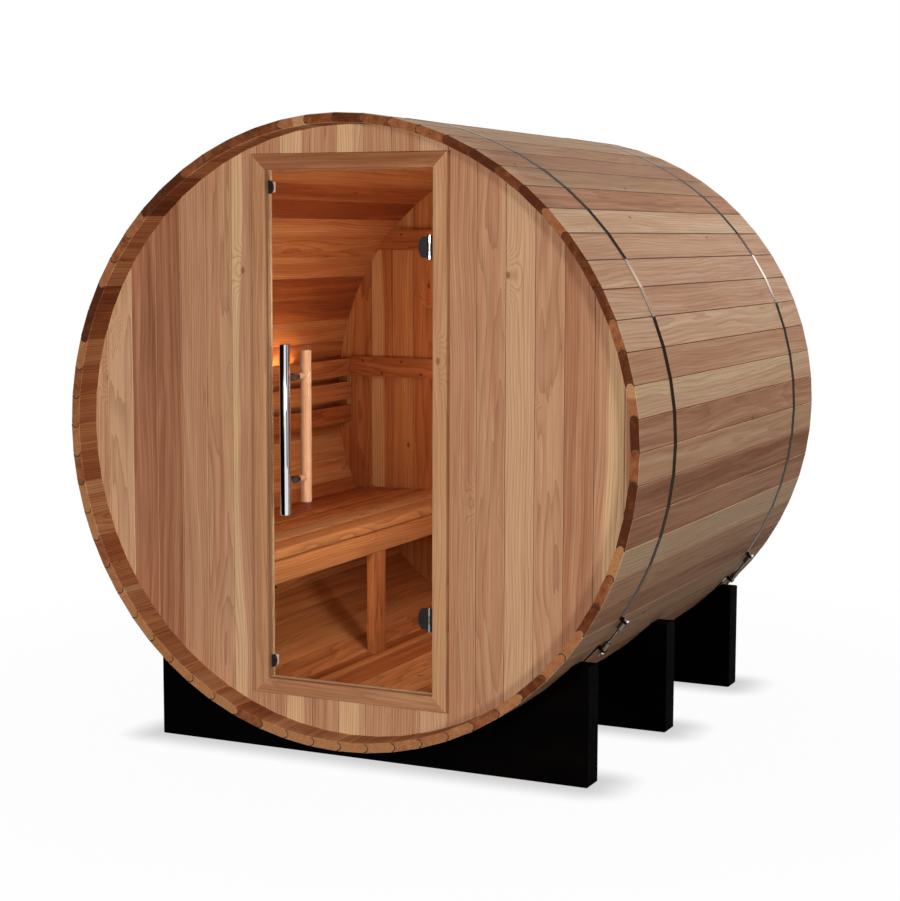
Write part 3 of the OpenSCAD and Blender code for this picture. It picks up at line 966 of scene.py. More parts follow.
@dataclass
class Barrel:
    """The staves of the barrel.

    Attributes:
        finishes: The finishes.
        count: Number of staves.
        thick: Thickness of a stave.
        gap: Gap between two staves.
        bead: Radius of the bead along one edge.
        ease: Eased edge of the inner corners.
        lit: Width and depth of the bevel along the bead's outer corner, which carries a painted highlight.
        dark: Width and depth of the bevel along the cove's outer corner, which carries painted shade as a
            dark line.
        end_ease: Eased edge at the ends.
        groove: Depth of the grooves that hold the walls.
        groove_play: Play of the walls in their grooves.
        painted_cap_shade: Painted shade: rise of the end grain's tone, towards brown, along each axis.
        contrast: How much more the end grain's tone differs from stave to stave than the faces' tone.
        tone: Middle tone of the staves.
        sweep: Half the angle of the bead's arc, in degrees.
        uneven: Greatest distance of a stave's front end behind the rim.
        groups: Names of the groups of staves, counter-clockwise from the right.
        mill: Where the staves come from.
    """

    finishes: Finishes
    count: int = 64
    thick: float = 0.028
    gap: float = 0.0004
    bead: float = 0.0112
    ease: float = 0.0014
    lit: Pair = (0.0016, 0.0024)
    dark: Pair = (0.0021, 0.0027)
    end_ease: float = 0.0015
    groove: float = 0.010
    groove_play: float = 0.0003
    painted_cap_shade: Triple = (0.14, 0.0, 0.3)
    contrast: float = 1.8
    tone: float = 0.47
    sweep: float = 84.0
    uneven: float = 0.0012
    groups: tuple[str, ...] = (
        "right_upper", "top_right", "top_left", "left_upper", "left_lower", "bottom_left", "bottom_right",
        "right_lower",
    )
    mill: Sawmill = field(default_factory=lambda: Sawmill(64))

    def __post_init__(self) -> None:
        """Reads the barrel's place and size from the frame."""
        low, high = corners("back_wall")
        self.axis = np.array([0.0, 0.0, (low[2] + high[2]) / 2])
        self.rim = corners("staves_top_left")[1][1]
        self.step = 2 * math.pi / self.count
        top = corners("staves_top_right")[1][2] - self.axis[2]
        self.outer = top * math.cos(self.step / 2)
        self.inner = self.outer - self.thick
        self.walls = [corners("front_wall_left"), corners("back_wall")]

    def half(self, distance: Array | float) -> Array | float:
        """Half the width of a stave at a distance from the axis."""
        return distance * math.tan(self.step / 2) - self.gap / 2

    def edge(self, side: int) -> Array:
        """Edge of a stave from its inner to its outer corner, as points across and through.

        Three points ease the inner corner and three make one side of the seam at the outer one. Between
        them runs an arc about the middle of the edge: a bead that stands out on the plus side, a cove
        that reaches in on the minus side.

        Args:
            side: Plus one for the bead, minus one for the cove.

        Returns:
            The points.
        """
        lean = self.step / 2
        middle = self.outer - self.thick / 2
        up = np.array([side * math.sin(lean), math.cos(lean)])
        out = np.array([math.cos(lean), -side * math.sin(lean)])
        at = np.array([self.half(middle), middle])
        radius = self.bead
        if side < 0:
            cos, sin = math.cos(self.step), math.sin(self.step)
            at = np.array([[cos, -sin], [sin, cos]]) @ at
            radius = self.bead + self.gap
        bend = np.radians(np.linspace(-self.sweep, self.sweep, 11))
        curve = at + radius * (np.sin(bend)[:, None] * up + np.cos(bend)[:, None] * out)
        wide, deep = self.lit if side > 0 else self.dark
        inside = self.inner + np.array([0.0, 0.3, 1.0]) * self.ease
        outside = self.outer - np.array([1.0, 0.4, 0.0]) * deep
        low = np.column_stack([side * (self.half(inside) - np.array([1.0, 0.3, 0.0]) * self.ease), inside])
        high = np.column_stack([side * (self.half(outside) - np.array([0.0, 0.5, 1.0]) * wide), outside])
        return np.concatenate([low, curve, high])

    def profile(self) -> Array:
        """Section of a stave, across and through, with the radius as its place through."""
        return np.concatenate([self.edge(1), self.edge(-1)[::-1]])

    def stations(self, draw_in: float) -> list[tuple[float, Array]]:
        """Places along the axis with the section at each, stepped at the wall grooves.

        Args:
            draw_in: How far the stave's front end lies behind the rim.

        Returns:
            The places and sections, from front to back.
        """
        plain = self.profile()
        grooved = np.column_stack([plain[:, 0], np.maximum(plain[:, 1], self.inner + self.groove)])
        narrow = inset(plain, self.end_ease)
        front = -self.rim + draw_in
        rows = [(front, narrow), (front + self.end_ease, plain)]
        for low, high in self.walls:
            start, stop = low[1] - self.groove_play, high[1] + self.groove_play
            rows += [(start, plain), (start, grooved), (stop, grooved), (stop, plain)]
        return rows + [(self.rim - self.end_ease, plain), (self.rim, narrow)]

    def stave(self, piece: Piece, number: int) -> None:
        """Adds one stave to a piece.

        Args:
            piece: The piece.
            number: Number of the stave, counter-clockwise from the right.
        """
        angle = (number + 0.5) * self.step
        out = np.array([math.cos(angle), 0.0, math.sin(angle)])
        round_axis = np.array([-math.sin(angle), 0.0, math.cos(angle)])
        placing = Placing(self.axis, Y, round_axis, out)
        cut = self.mill.cut(self.tone, spread=0.175, sap_share=0.12, flat_share=0.35)
        rows = self.stations(self.mill.draw.uniform(0, self.uneven))
        local = np.stack([np.column_stack([np.full(len(s), y), s]) for y, s in rows])
        placed = cut.about(0.0, self.outer - self.thick / 2)
        # Painted shade: the end grain's tone rises towards brown towards the top and the right.
        tone = self.tone + self.contrast * (cut.tone - self.tone) + self.painted_cap_shade @ out
        shaded_cap = replace(placed, tone=kept(tone))
        slots = self.slots(*local.shape[:2])
        piece.rings(placing, local, placed, slots, Face.END.value, cap=shaded_cap)

    @staticmethod
    def slots(rings: int, points: int) -> Array:
        """Finish slot of each face of a stave's skin, by ring and by place on the section.

        Args:
            rings: Number of rings.
            points: Number of points on the section, half of them on each edge.

        Returns:
            The slots, one row less than the rings.
        """
        top = points // 2 - 1
        around = np.full(points, Face.IN.value)
        # Painted highlight on the bead's outer bevel, then the outer face, then painted shade on the cove's
        # bevel.
        around[top - 2:top] = Face.PAINTED_HIGHLIGHT.value
        around[top] = Face.OUT.value
        around[top + 1:top + 3] = Face.SEAM.value
        skin = np.tile(around, (rings - 1, 1))
        over = np.where(around == Face.IN.value, Face.RIM.value, around)
        skin[[1, -2]] = over
        # The eased ends get painted shade along the edges of each stave.
        over[2:top] = over[top + 1:-3] = Face.SEAM.value
        skin[[0, -1]] = over
        return skin

    def build(self) -> None:
        """Builds the eight groups of staves."""
        size = self.count // len(self.groups)
        for place, group in enumerate(self.groups):
            piece = Piece(f"stave_boards_{group}", self.finishes.staves())
            for number in range(place * size, (place + 1) * size):
                self.stave(piece, number)
            piece.finish("cabin", "barrel_cedar", [f"staves_{group}"])


@dataclass
class BoardWalls:
    """The front wall round the doorway and the back wall, of upright boards with V grooves.

    Attributes:
        finishes: The finishes.
        barrel: The barrel that holds the walls.
        pitch: Width of a board.
        groove: Width and depth of the bevel along a board's edges.
        joint: Half the gap between two boards.
        trim: How far the outermost boards stay inside the wall's radius.
        face_points: Points across a board's face.
        inside: Share of the thickness from which an edge has the cabin's finish.
        mill: Where the boards come from.
    """

    finishes: Finishes
    barrel: Barrel
    pitch: float = 0.0877
    groove: float = 0.0023
    joint: float = 0.0001
    trim: float = 0.0005
    face_points: int = 9
    inside: float = 0.6
    mill: Sawmill = field(default_factory=lambda: Sawmill(21))

    def profile(self, left: float, right: float, thick: float, bevels: tuple[bool, bool]) -> Array:
        """Outline of a board: two faces with a row of points each, and bevels along its edges.

        Args:
            left: Left edge.
            right: Right edge.
            thick: Thickness; the outer face is at zero.
            bevels: Whether the left and the right edge are bevelled.

        Returns:
            The outline, counter-clockwise.
        """
        near, far = (self.groove if b else 0.0 for b in bevels)
        across = np.linspace(left + near, right - far, self.face_points)
        back = np.column_stack([across, np.full_like(across, -thick)])
        front = np.column_stack([across[::-1], np.zeros_like(across)])
        right_edge = [[right, -thick + far], [right, -far]] if far else np.empty((0, 2))
        left_edge = [[left, -near], [left, -thick + near]] if near else np.empty((0, 2))
        return np.concatenate([back, right_edge, front, left_edge])

    def strip(
        self, piece: Piece, placing: Placing, span: Pair, thick: float, radius: float,
        cut: Cut, bevels: tuple[bool, bool] = (True, True),
        over: float | None = None, under: float | None = None,
    ) -> None:
        """Adds one upright board whose ends follow the round of the barrel.

        The ends lie at the axis height plus and minus the root of the radius squared less the place
        across squared, unless a level cuts them.

        Args:
            piece: The piece.
            placing: Local frame on the wall's outer face.
            span: Left and right edge.
            thick: Thickness of the wall.
            radius: Radius of the wall.
            cut: The board's cut.
            bevels: Whether the left and the right edge are bevelled.
            over: Level at which the board starts, if it stands over the doorway.
            under: Level at which the board stops, if it ends under the doorway.
        """
        outline = self.profile(span[0], span[1], thick, bevels)
        rise = np.sqrt(np.maximum(radius**2 - outline[:, 0] ** 2, 0.0))
        middle = self.barrel.axis[2]
        low = middle - rise if over is None else np.full(len(outline), over)
        high = middle + rise if under is None else np.full(len(outline), under)
        centre = sum(span) / 2

        def slots(places: Array) -> Array:
            """The cabin's finish on the inner part, with painted shade on the left side of each groove
            and a painted highlight on its right side.

            Args:
                places: Middles of the skin's faces, across and through.

            Returns:
                The finish slot of each face.
            """
            left, deep = places[:, 0] < centre, -places[:, 1]
            skin = np.where(deep < thick * self.inside, Face.OUT.value, Face.IN.value)
            # Painted shade on the left bevels, and a painted highlight on the right outer bevel that faces
            # the lamps.
            shaded = left & (np.minimum(deep, thick - deep) > 0) & (abs(deep - thick / 2) > thick / 4)
            lit = ~left & (deep > 0) & (deep < thick / 4)
            return np.select([shaded, lit], [Face.SEAM.value, Face.PAINTED_HIGHLIGHT.value], skin)

        piece.carried(placing, outline, low, high, cut.about(centre, 0.0), 0.0, slots, Face.END.value)

    def columns(self, radius: float) -> list[Pair]:
        """Boards side by side, with one centred on the axis.

        Args:
            radius: Radius of the wall.

        Returns:
            Left and right edge of each board, from left to right.
        """
        count = math.ceil(radius / self.pitch - 0.5)
        reach = radius - self.trim
        edges = [(i - 0.5) * self.pitch for i in range(-count, count + 2)]
        spans = zip(edges[:-1], edges[1:])
        return [(max(a, -reach) + self.joint, min(b, reach) - self.joint) for a, b in spans]

    def build_back(self) -> None:
        """Builds the back wall."""
        low, high = corners("back_wall")
        placing = Placing(Y * high[1], Z, X, Y)
        piece = Piece("back_wall_boards", self.finishes.grooved(self.finishes.wall))
        radius = high[0]
        for span in self.columns(radius):
            cut = self.mill.cut(tone=0.46, spread=0.13, sap_share=0.15, flat_share=0.55)
            self.strip(piece, placing, span, high[1] - low[1], radius, cut)
        piece.finish("cabin", "wall_cedar", ["back_wall"])

    def build_front(self) -> None:
        """Builds the front wall, with its boards cut off at the doorway's frame."""
        low, high = corners("front_wall_left")
        radius = -low[0]
        thick = high[1] - low[1]
        edge = -high[0]
        over = corners("front_wall_over_door")[0][2]
        under = corners("front_wall_under_door")[1][2]
        placing = Placing(Y * low[1], Z, X, -Y)
        piece = Piece("front_wall_boards", self.finishes.grooved(self.finishes.wall))
        for left, right in self.columns(radius):
            cut = self.mill.cut(tone=0.45, spread=0.23, sap_share=0.34, flat_share=0.2)
            for span, bevels, beside in self.split(left, right, edge):
                for ends in [{}] if beside else [{"over": over}, {"under": under}]:
                    self.strip(piece, placing, span, thick, radius, cut, bevels, **ends)
        nodes = [f"front_wall_{side}" for side in ("left", "right", "over_door", "under_door")]
        piece.finish("cabin", "wall_cedar", nodes)

    @staticmethod
    def split(left: float, right: float, edge: float) -> list[tuple[Pair, tuple[bool, bool], bool]]:
        """Parts of a board beside and between the sides of the doorway's frame.

        Args:
            left: Left edge of the board.
            right: Right edge of the board.
            edge: Half the width of the frame.

        Returns:
            For each part its edges, its bevels and whether it stands beside the doorway.
        """
        places = [left, *[e for e in (-edge, edge) if left < e < right], right]
        parts = []
        for a, b in zip(places[:-1], places[1:]):
            beside = abs(a + b) / 2 > edge
            parts.append(((a, b), (a == left, b == right), beside))
        return parts


@dataclass
class Doorway:
    """Jambs, head, sill and the mitred casing.

    Attributes:
        finishes: The finishes.
        bevel: Bevel along the casing's front edges.
        ease: Eased edges of the lining.
        mill: Where the boards come from.
    """

    finishes: Finishes
    bevel: float = 0.004
    ease: float = 0.001
    mill: Sawmill = field(default_factory=lambda: Sawmill(7))

    def build(self) -> None:
        """Builds the frame and the casing."""
        self.build_lining()
        self.build_casing()

    def build_lining(self) -> None:
        """Builds the boards that line the doorway."""
        low, high = corners("door_jambs")
        inner = corners("door_sill")[1][0]
        jambs = Piece("door_jamb_boards", [self.finishes.frame])
        for left, right in ((low[0], -inner), (inner, high[0])):
            cut = self.mill.cut(tone=0.2, spread=0.08, sap_share=0.0, flat_share=0.2)
            jambs.board(*part(low, high, Run.X, left, right), Run.Z, cut, self.ease)
        jambs.finish("cabin", "frame_cedar", ["door_jambs"])
        for node in ("door_head", "door_sill"):
            board = Piece(f"{node}_board", [self.finishes.frame])
            cut = self.mill.cut(tone=0.25, spread=0.08, sap_share=0.0, flat_share=0.2)
            board.board(*corners(node), Run.X, cut, self.ease)
            board.finish("cabin", "frame_cedar", [node])

    def casing_profile(self, width: float, thick: float) -> Array:
        """Section of the casing: a flat face with a softened bevel along both front edges.

        Args:
            width: Width of the casing.
            thick: Thickness of the casing.

        Returns:
            The outline, counter-clockwise.
        """
        soft = np.array([[0.0, 1.0], [0.12, 0.45], [0.45, 0.12], [1.0, 0.0]]) * self.bevel
        right = np.column_stack([width - soft[:, 0], thick - soft[:, 1]])
        left = np.column_stack([soft[::-1, 0], thick - soft[::-1, 1]])
        return np.concatenate([[[0.0, 0.0], [width, 0.0]], right, left])

    def build_casing(self) -> None:
        """Builds the four mitred boards round the doorway.

        Each is its section carried along its side of the doorway, longer by the place across at both
        ends, which makes the mitres.
        """
        sill, head = corners("door_sill"), corners("door_head")
        half = sill[1][0]
        bottom, top = sill[1][2], head[0][2]
        middle = (bottom + top) / 2
        front, back = corners("casing_top")[0][1], corners("casing_top")[1][1]
        width = corners("casing_top")[1][2] - top
        section = self.casing_profile(width, back - front)
        tall = (top - bottom) / 2
        sides = {
            "top": (0.8, X, Z, half, tall),
            "right": (0.3, -Z, X, tall, half),
            "bottom": (0.7, -X, -Z, half, tall),
            "left": (0.4, Z, -X, tall, half),
        }
        centre = np.array([0.0, back, middle])
        for side, (tone, along, across, reach, away) in sides.items():
            piece = Piece(f"casing_board_{side}", [self.finishes.frame])
            placing = Placing(centre + across * away, along, across, -Y)
            ends = reach + section[:, 0]
            cut = self.mill.cut(tone, spread=0.04, sap_share=0.0, flat_share=0.4)
            piece.carried(placing, section, -ends, ends, cut)
            piece.finish("cabin", "frame_cedar", [f"casing_{side}"])


@dataclass(frozen=True)
class Plate:
    """A plate on the glass, with one straight side and a round one away from it.

    Attributes:
        width: Its width.
        height: Its height.
        thick: Its thickness.
        belly: Radius of the round side.
        side: Plus one for a belly towards plus X, minus one for the other way.
    """

    width: float
    height: float
    thick: float
    belly: float
    side: int

    def outline(self) -> Array:
        """Outline of the plate, with its straight side at zero.

        Returns:
            The points in X and Z.
        """
        half = self.height / 2
        lean = math.degrees(math.asin(half / self.belly))
        curve = arc(np.array([self.width - self.belly, 0.0]), self.belly, -lean, lean, 17)
        return np.concatenate([[[0.0, half], [0.0, -half]], curve]) * np.array([self.side, 1.0])


@dataclass
class GlassDoor:
    """The glass with its hinges, catches and handle.

    Attributes:
        finishes: The finishes.
        play: Gap between a plate and the glass.
        hinge: Plate of a hinge.
        clip: Plate of a catch.
        plate_ease: Eased edge of the plates.
        knuckle: Radius of the middle knuckle.
        knuckle_half: Half the height of the middle knuckle and of its arm.
        knuckle_soft: Soft edge of the middle knuckle.
        arm: How far the knuckle's arm laps the plate, stands behind the pin and stops short of it.
        arm_ease: Eased edge of the arm.
        magnet_high: Height of a magnet block.
        magnet_ease: Eased edge of a magnet block.
        corner: Radius of the glass's corners.
        arris: Ground edge of the glass.
        bar_soft: Soft edge at the ends of both bars.
        sink: How far the stems and posts reach into the bars.
        flange: Radius of a flange over that of its stem.
        flange_long: Length of the flange outside.
        flange_soft: Soft edge of the flanges.
        washer_long: Length of the flange inside.
        washer_soft: Length of its soft edge.
        post_waist: Distance from the glass at which a wooden post is as thick as its stem.
        post_ends: Radius of a wooden post at its ends over that of its stem.
    """

    finishes: Finishes
    play: float = 0.0003
    hinge: Plate = Plate(width=0.030, height=0.058, thick=0.005, belly=0.047, side=-1)
    clip: Plate = Plate(width=0.014, height=0.038, thick=0.003, belly=0.024, side=1)
    plate_ease: float = 0.0009
    knuckle: float = 0.0062
    knuckle_half: float = 0.0106
    knuckle_soft: float = 0.0008
    arm: Triple = (0.006, 0.002, 0.003)
    arm_ease: float = 0.001
    magnet_high: float = 0.030
    magnet_ease: float = 0.0012
    corner: float = 0.003
    arris: float = 0.001
    bar_soft: float = 0.0015
    sink: float = 0.004
    flange: float = 1.35
    flange_long: float = 0.012
    flange_soft: float = 0.0005
    washer_long: float = 0.0108
    washer_soft: float = 0.0008
    post_waist: float = 0.02
    post_ends: Pair = (0.8, 1.3)

    def __post_init__(self) -> None:
        """Reads the glass and the pins from the frame."""
        self.low, self.high = corners("door_glass")
        self.front, self.back = self.low[1] - self.play, self.high[1] + self.play
        self.pin = np.array(frame["joints"][0]["pos_m"])

    def plates(self, piece: Piece, plate: Plate, edge: float, levels: Array) -> None:
        """Adds a plate on both faces of the glass at each level.

        Args:
            piece: The piece.
            plate: The plate.
            edge: Place of the plates' straight side.
            levels: Heights of the plates' middles.
        """
        for level in levels:
            placing = Placing.along_y(edge, level)
            for start in (self.front - plate.thick, self.back):
                piece.carried(placing, plate.outline(), start, start + plate.thick, ease=self.plate_ease)

    def build(self) -> None:
        """Builds the glass and what is on it."""
        self.build_pane()
        self.build_hinges()
        self.build_catches()
        self.build_bars()
        self.build_fixings()

    def build_pane(self) -> None:
        """Builds the glass: its outline carried through its thickness, with ground edges."""
        middle, size = (self.low + self.high) / 2, self.high - self.low
        pane = Piece("door_pane", [self.finishes.glass, self.finishes.rim_glass])
        placing = Placing.along_y(middle[0], middle[2])
        outline = round_rectangle(size[0], size[2], self.corner)
        pane.carried(placing, outline, self.low[1], self.high[1], ease=self.arris, side=1)
        pane.finish("door", "clear_glass", ["door_glass"])

    def build_hinges(self) -> None:
        """Builds the black hinge plates and the bright knuckles, and dresses the leaves."""
        low, high = corners("hinge_clamps")
        levels = spaced(low[2], high[2], self.hinge.height, 2) + self.hinge.height / 2
        edge = low[0] + self.hinge.width
        plates = Piece("hinge_plates", [self.finishes.black])
        self.plates(plates, self.hinge, edge, levels)
        knuckles = Piece("hinge_knuckles", [self.finishes.bolt])
        lap, behind, short = self.arm
        half, soft, radius = self.knuckle_half, self.knuckle_soft, self.knuckle
        rows = np.array([[-half, radius - soft], [-half + soft, radius],
                         [half - soft, radius], [half, radius - soft]])
        for level in levels:
            first = np.array([edge - lap, self.pin[1] + behind, level - half])
            last = np.array([self.pin[0] - short, self.front, level + half])
            plates.board(first, last, Run.X, PLAIN, self.arm_ease)
            knuckles.turned(Placing.along_z(self.pin[0], self.pin[1], level), rows, 32)
        plates.finish("door", "black_metal", ["hinge_clamps"])
        knuckles.finish("door", "bright_steel")
        dress("hinge_leaves", self.finishes.pin)

    def build_catches(self) -> None:
        """Builds the catch plates and the magnet blocks."""
        low, high = corners("catch_clips")
        clips = Piece("catch_plates", [self.finishes.black])
        levels = spaced(low[2], high[2], self.clip.height, 2) + self.clip.height / 2
        self.plates(clips, self.clip, low[0], levels)
        clips.finish("door", "black_metal", ["catch_clips"])
        low, high = corners("catch_magnets")
        tall = self.magnet_high
        magnets = Piece("catch_magnet_blocks", [self.finishes.ivory])
        for bottom in spaced(low[2], high[2], tall, 2):
            block = part(low, high, Run.Z, bottom, bottom + tall)
            magnets.board(*block, Run.Z, PLAIN, self.magnet_ease)
        magnets.finish("cabin", "ivory_plastic", ["catch_magnets"])

    def build_bars(self) -> None:
        """Builds the steel bar outside and the wooden one inside, turned with soft ends."""
        bars = {
            "handle_bar": ("bright_steel", self.finishes.chrome),
            "handle_grip": ("frame_cedar", self.finishes.grip),
        }
        turn = self.bar_soft * np.array([[0.0, -1.0], [0.3, -0.3], [1.0, 0.0]])
        end = turn[::-1] * np.array([-1.0, 1.0])
        cut = Cut(tone=0.25, sap=NO_SAP, start=3.0, heart=(0.06, 0.03))
        for node, (slot, finish) in bars.items():
            low, high = corners(node)
            middle = (low + high) / 2
            radius = (high[0] - low[0]) / 2
            rows = np.concatenate([turn + [low[2], radius], end + [high[2], radius]])
            piece = Piece(f"{node}_turned", [finish])
            piece.turned(Placing.along_z(middle[0], middle[1]), rows, 64, cut)
            piece.finish("door", slot, [node])

    def build_fixings(self) -> None:
        """Builds the steel stems with a flange on each face of the glass, and the grip's wooden posts."""
        low, high = corners("handle_fixings")
        radius = (high[0] - low[0]) / 2
        wide, soft = radius * self.flange, self.flange_soft
        outside, inside = self.front - self.flange_long, self.back + self.washer_long
        bar, grip = corners("handle_bar")[1][1], corners("handle_grip")[0][1]
        stem = np.array([
            [bar - self.sink, radius], [outside, radius], [outside + soft, wide],
            [self.front - soft, wide], [self.front, wide - soft],
        ])
        washer = np.array([
            [self.back, wide - soft], [self.back + soft, wide],
            [inside - self.washer_soft, wide], [inside, wide - 2 * soft],
        ])
        thin, thick = self.post_ends
        waist = self.back + self.post_waist
        post = np.array([[inside, radius * thin], [waist, radius], [grip + self.sink, radius * thick]])
        stems = Piece("handle_stems", [self.finishes.pin])
        posts = Piece("handle_wood_posts", [self.finishes.grip])
        cut = Cut(tone=0.4, sap=NO_SAP, start=5.0, heart=(0.05, 0.02))
        for level in spaced(low[2], high[2], 2 * radius, 2) + radius:
            placing = Placing.along_y(low[0] + radius, level)
            stems.turned(placing, stem, 40)
            stems.turned(placing, washer, 40)
            posts.turned(placing, post, 40, cut)
        stems.finish("door", "bright_steel", ["handle_fixings"])
        posts.finish("door", "frame_cedar", ["handle_grip_posts"])


@dataclass
class CabinFittings:
    """Deck, bench, backrest, battens and the light behind the top slat.

    Attributes:
        finishes: The finishes.
        barrel: The barrel round the cabin.
        nosing: Radius of the seat's front edge.
        scribe: Gap between a scribed piece and the staves.
        ease: Radius of the long edges of the bench's and the backrest's boards.
        deck_pitch: Width of a deck board with its gap.
        deck_first: Place across of one gap in the deck.
        deck_gap: Gap between two deck boards.
        deck_least: Least width of the outermost deck boards.
        deck_ease: Radius of the deck boards' long edges.
        deck_bearer: Width of a bearer under the deck.
        plug: Place of the deck's plug in X and Y.
        plug_ring: Heights over the deck and radii of the ring of painted shade round the plug.
        plug_disc: Heights over the deck and radii of the plug.
        seat_board: Width of a seat board.
        seat_gap: Gap between two seat boards.
        post_round: Radius of the post's long edges.
        slat_high: Height of a backrest slat.
        slat_gap: Gap between a slat and what lies under or beside it.
        batten_high: Height of a batten.
        frame_thick: Thickness of the bench's bearers and the backrest's supports.
        screw_first: Place across of the first screw.
        screw_pitch: Distance between two screws.
        screw_count: Number of places for screws.
        screw_levels: Shares of a batten's height at which the screws stand, in turn.
        screw_clear: Least distance of a screw from a batten's end.
        screw_hole: Depths and radii of a screw hole, a near-black disc of painted shade.
        mill: Where the boards come from.
    """

    finishes: Finishes
    barrel: Barrel
    nosing: float = 0.011
    scribe: float = 0.0002
    ease: float = 0.0025
    deck_pitch: float = 0.104
    deck_first: float = -0.035
    deck_gap: float = 0.003
    deck_least: float = 0.01
    deck_ease: float = 0.002
    deck_bearer: float = 0.040
    plug: Pair = (-0.0105, -0.313)
    plug_ring: tuple[Pair, ...] = ((-0.003, 0.0105), (0.0002, 0.0105), (0.0003, 0.0085))
    plug_disc: tuple[Pair, ...] = ((-0.003, 0.0085), (0.0004, 0.0085), (0.0008, 0.0078))
    seat_board: float = 0.0876
    seat_gap: float = 0.006
    post_round: float = 0.002
    slat_high: float = 0.066
    slat_gap: float = 0.002
    batten_high: float = 0.073
    frame_thick: float = 0.028
    screw_first: float = -0.7715
    screw_pitch: float = 0.0807
    screw_count: int = 20
    screw_levels: Pair = (0.79, 0.17)
    screw_clear: float = 0.02
    screw_hole: tuple[Pair, ...] = ((-0.0005, 0.0045), (0.0002, 0.0043), (0.002, 0.0030))
    mill: Sawmill = field(default_factory=lambda: Sawmill(11))

    def wood(self, name: str) -> Piece:
        """Starts a piece of cabin wood."""
        return Piece(name, [self.finishes.cabin])

    def cut(self, tone: float = 0.5, spread: float = 0.16, flat: float = 0.5) -> Cut:
        """Draws a board for the cabin."""
        return self.mill.cut(tone, spread, sap_share=0.12, flat_share=flat)

    def reach(self, level: Array | float) -> Array | float:
        """Half the width of the cabin at a height."""
        radius = self.barrel.inner - self.scribe
        return np.sqrt(radius**2 - (np.asarray(level) - self.barrel.axis[2]) ** 2)

    def ground(self, across: Array) -> Array:
        """Height of the staves under a place across."""
        radius = self.barrel.inner - self.scribe
        return self.barrel.axis[2] - np.sqrt(radius**2 - across**2)

    def build(self) -> None:
        """Builds everything inside the cabin."""
        self.build_deck()
        self.build_seat()
        self.build_bench_frame()
        self.build_backrest()
        self.build_battens()

    def build_deck(self) -> None:
        """Builds the deck boards, their plug and the bearers."""
        low, high = corners("floor_boards")
        deck = self.wood("deck_boards")
        before = math.floor((self.deck_first - low[0]) / self.deck_pitch)
        after = math.floor((high[0] - self.deck_first) / self.deck_pitch)
        joints = self.deck_first + self.deck_pitch * np.arange(-before, after + 1)
        inner = joints[(joints > low[0] + self.deck_least) & (joints < high[0] - self.deck_least)]
        lefts = [low[0], *(inner + self.deck_gap / 2)]
        rights = [*(inner - self.deck_gap / 2), high[0]]
        for left, right in zip(lefts, rights):
            cut = self.cut(tone=0.42, spread=0.2)
            deck.board(*part(low, high, Run.X, left, right), Run.Y, cut, self.deck_ease)
        deck.finish("cabin", "cabin_wood", ["floor_boards"])
        plug = Piece("deck_plug", [self.finishes.cabin, self.finishes.hole])
        spot = Placing.along_z(*self.plug, high[2])
        # A near-black ring of painted shade in the gap round the plug.
        plug.turned(spot, np.array(self.plug_ring), 32, slot=1)
        plug.turned(spot, np.array(self.plug_disc), 32, self.cut(tone=0.3))
        plug.finish("cabin", "cabin_wood")
        bearers = self.wood("deck_bearers")
        low, high = corners("floor_bearers")
        for start in spaced(low[1], high[1], self.deck_bearer, 3):
            self.round_bottom(bearers, (low[0], high[0]), high[2], (start, start + self.deck_bearer))
        bearers.finish("cabin", "cabin_wood", ["floor_bearers"])

    def round_bottom(self, piece: Piece, span: Pair, top: float, path: Pair) -> None:
        """Adds a piece with a level top whose underside follows the staves.

        Args:
            piece: The piece.
            span: Left and right end.
            top: Height of its top.
            path: Front and back.
        """
        across = np.linspace(span[0], span[1], 25)
        under = self.ground(across)
        outline = np.concatenate([np.column_stack([across, under]), [[span[1], top], [span[0], top]]])
        cut = self.cut().about((under.min() + top) / 2, sum(path) / 2)
        piece.carried(Placing.along_y(), outline, path[0], path[1], cut, grain=1)

    def scribed(self, front: Array, levels: Array, count: int = 17) -> Array:
        """Outline in X and Z with a given front edge and a back edge that follows the staves.

        Args:
            front: Places of the front edge, from the bottom up.
            levels: Heights of those places.
            count: Points on the back edge.

        Returns:
            The outline.
        """
        rise = np.linspace(levels[-1], levels[0], count)
        back = np.column_stack([-self.reach(rise), rise])
        return np.concatenate([np.column_stack([front, levels]), back])

    def build_seat(self) -> None:
        """Builds the seat, whose front board has a round nosing."""
        low, high = corners("bench_seat")
        seat = self.wood("seat_boards")
        step = self.seat_board + self.seat_gap
        for i in range(round((high[0] - low[0] + self.seat_gap) / step)):
            right = high[0] - i * step
            box = part(low, high, Run.X, right - self.seat_board, right)
            if i == 0:
                self.nosed(seat, *box)
            else:
                seat.board(*box, Run.Y, self.cut(), self.ease)
        seat.finish("cabin", "cabin_wood", ["bench_seat"])

    def nosed(self, piece: Piece, low: Array, high: Array) -> None:
        """Adds the seat's front board, with its front edges rounded over.

        Args:
            piece: The piece.
            low: Lowest corner.
            high: Highest corner.
        """
        middle = (low + high) / 2
        size = high - low
        outline = round_rectangle(size[0], size[2], (self.nosing, self.ease, self.ease, self.nosing), 7)
        cut = self.cut(tone=0.12, spread=0.04, flat=0.2)
        placing = Placing.along_y(middle[0], middle[2])
        piece.carried(placing, outline, low[1], high[1], cut, Piece.END_EASE)

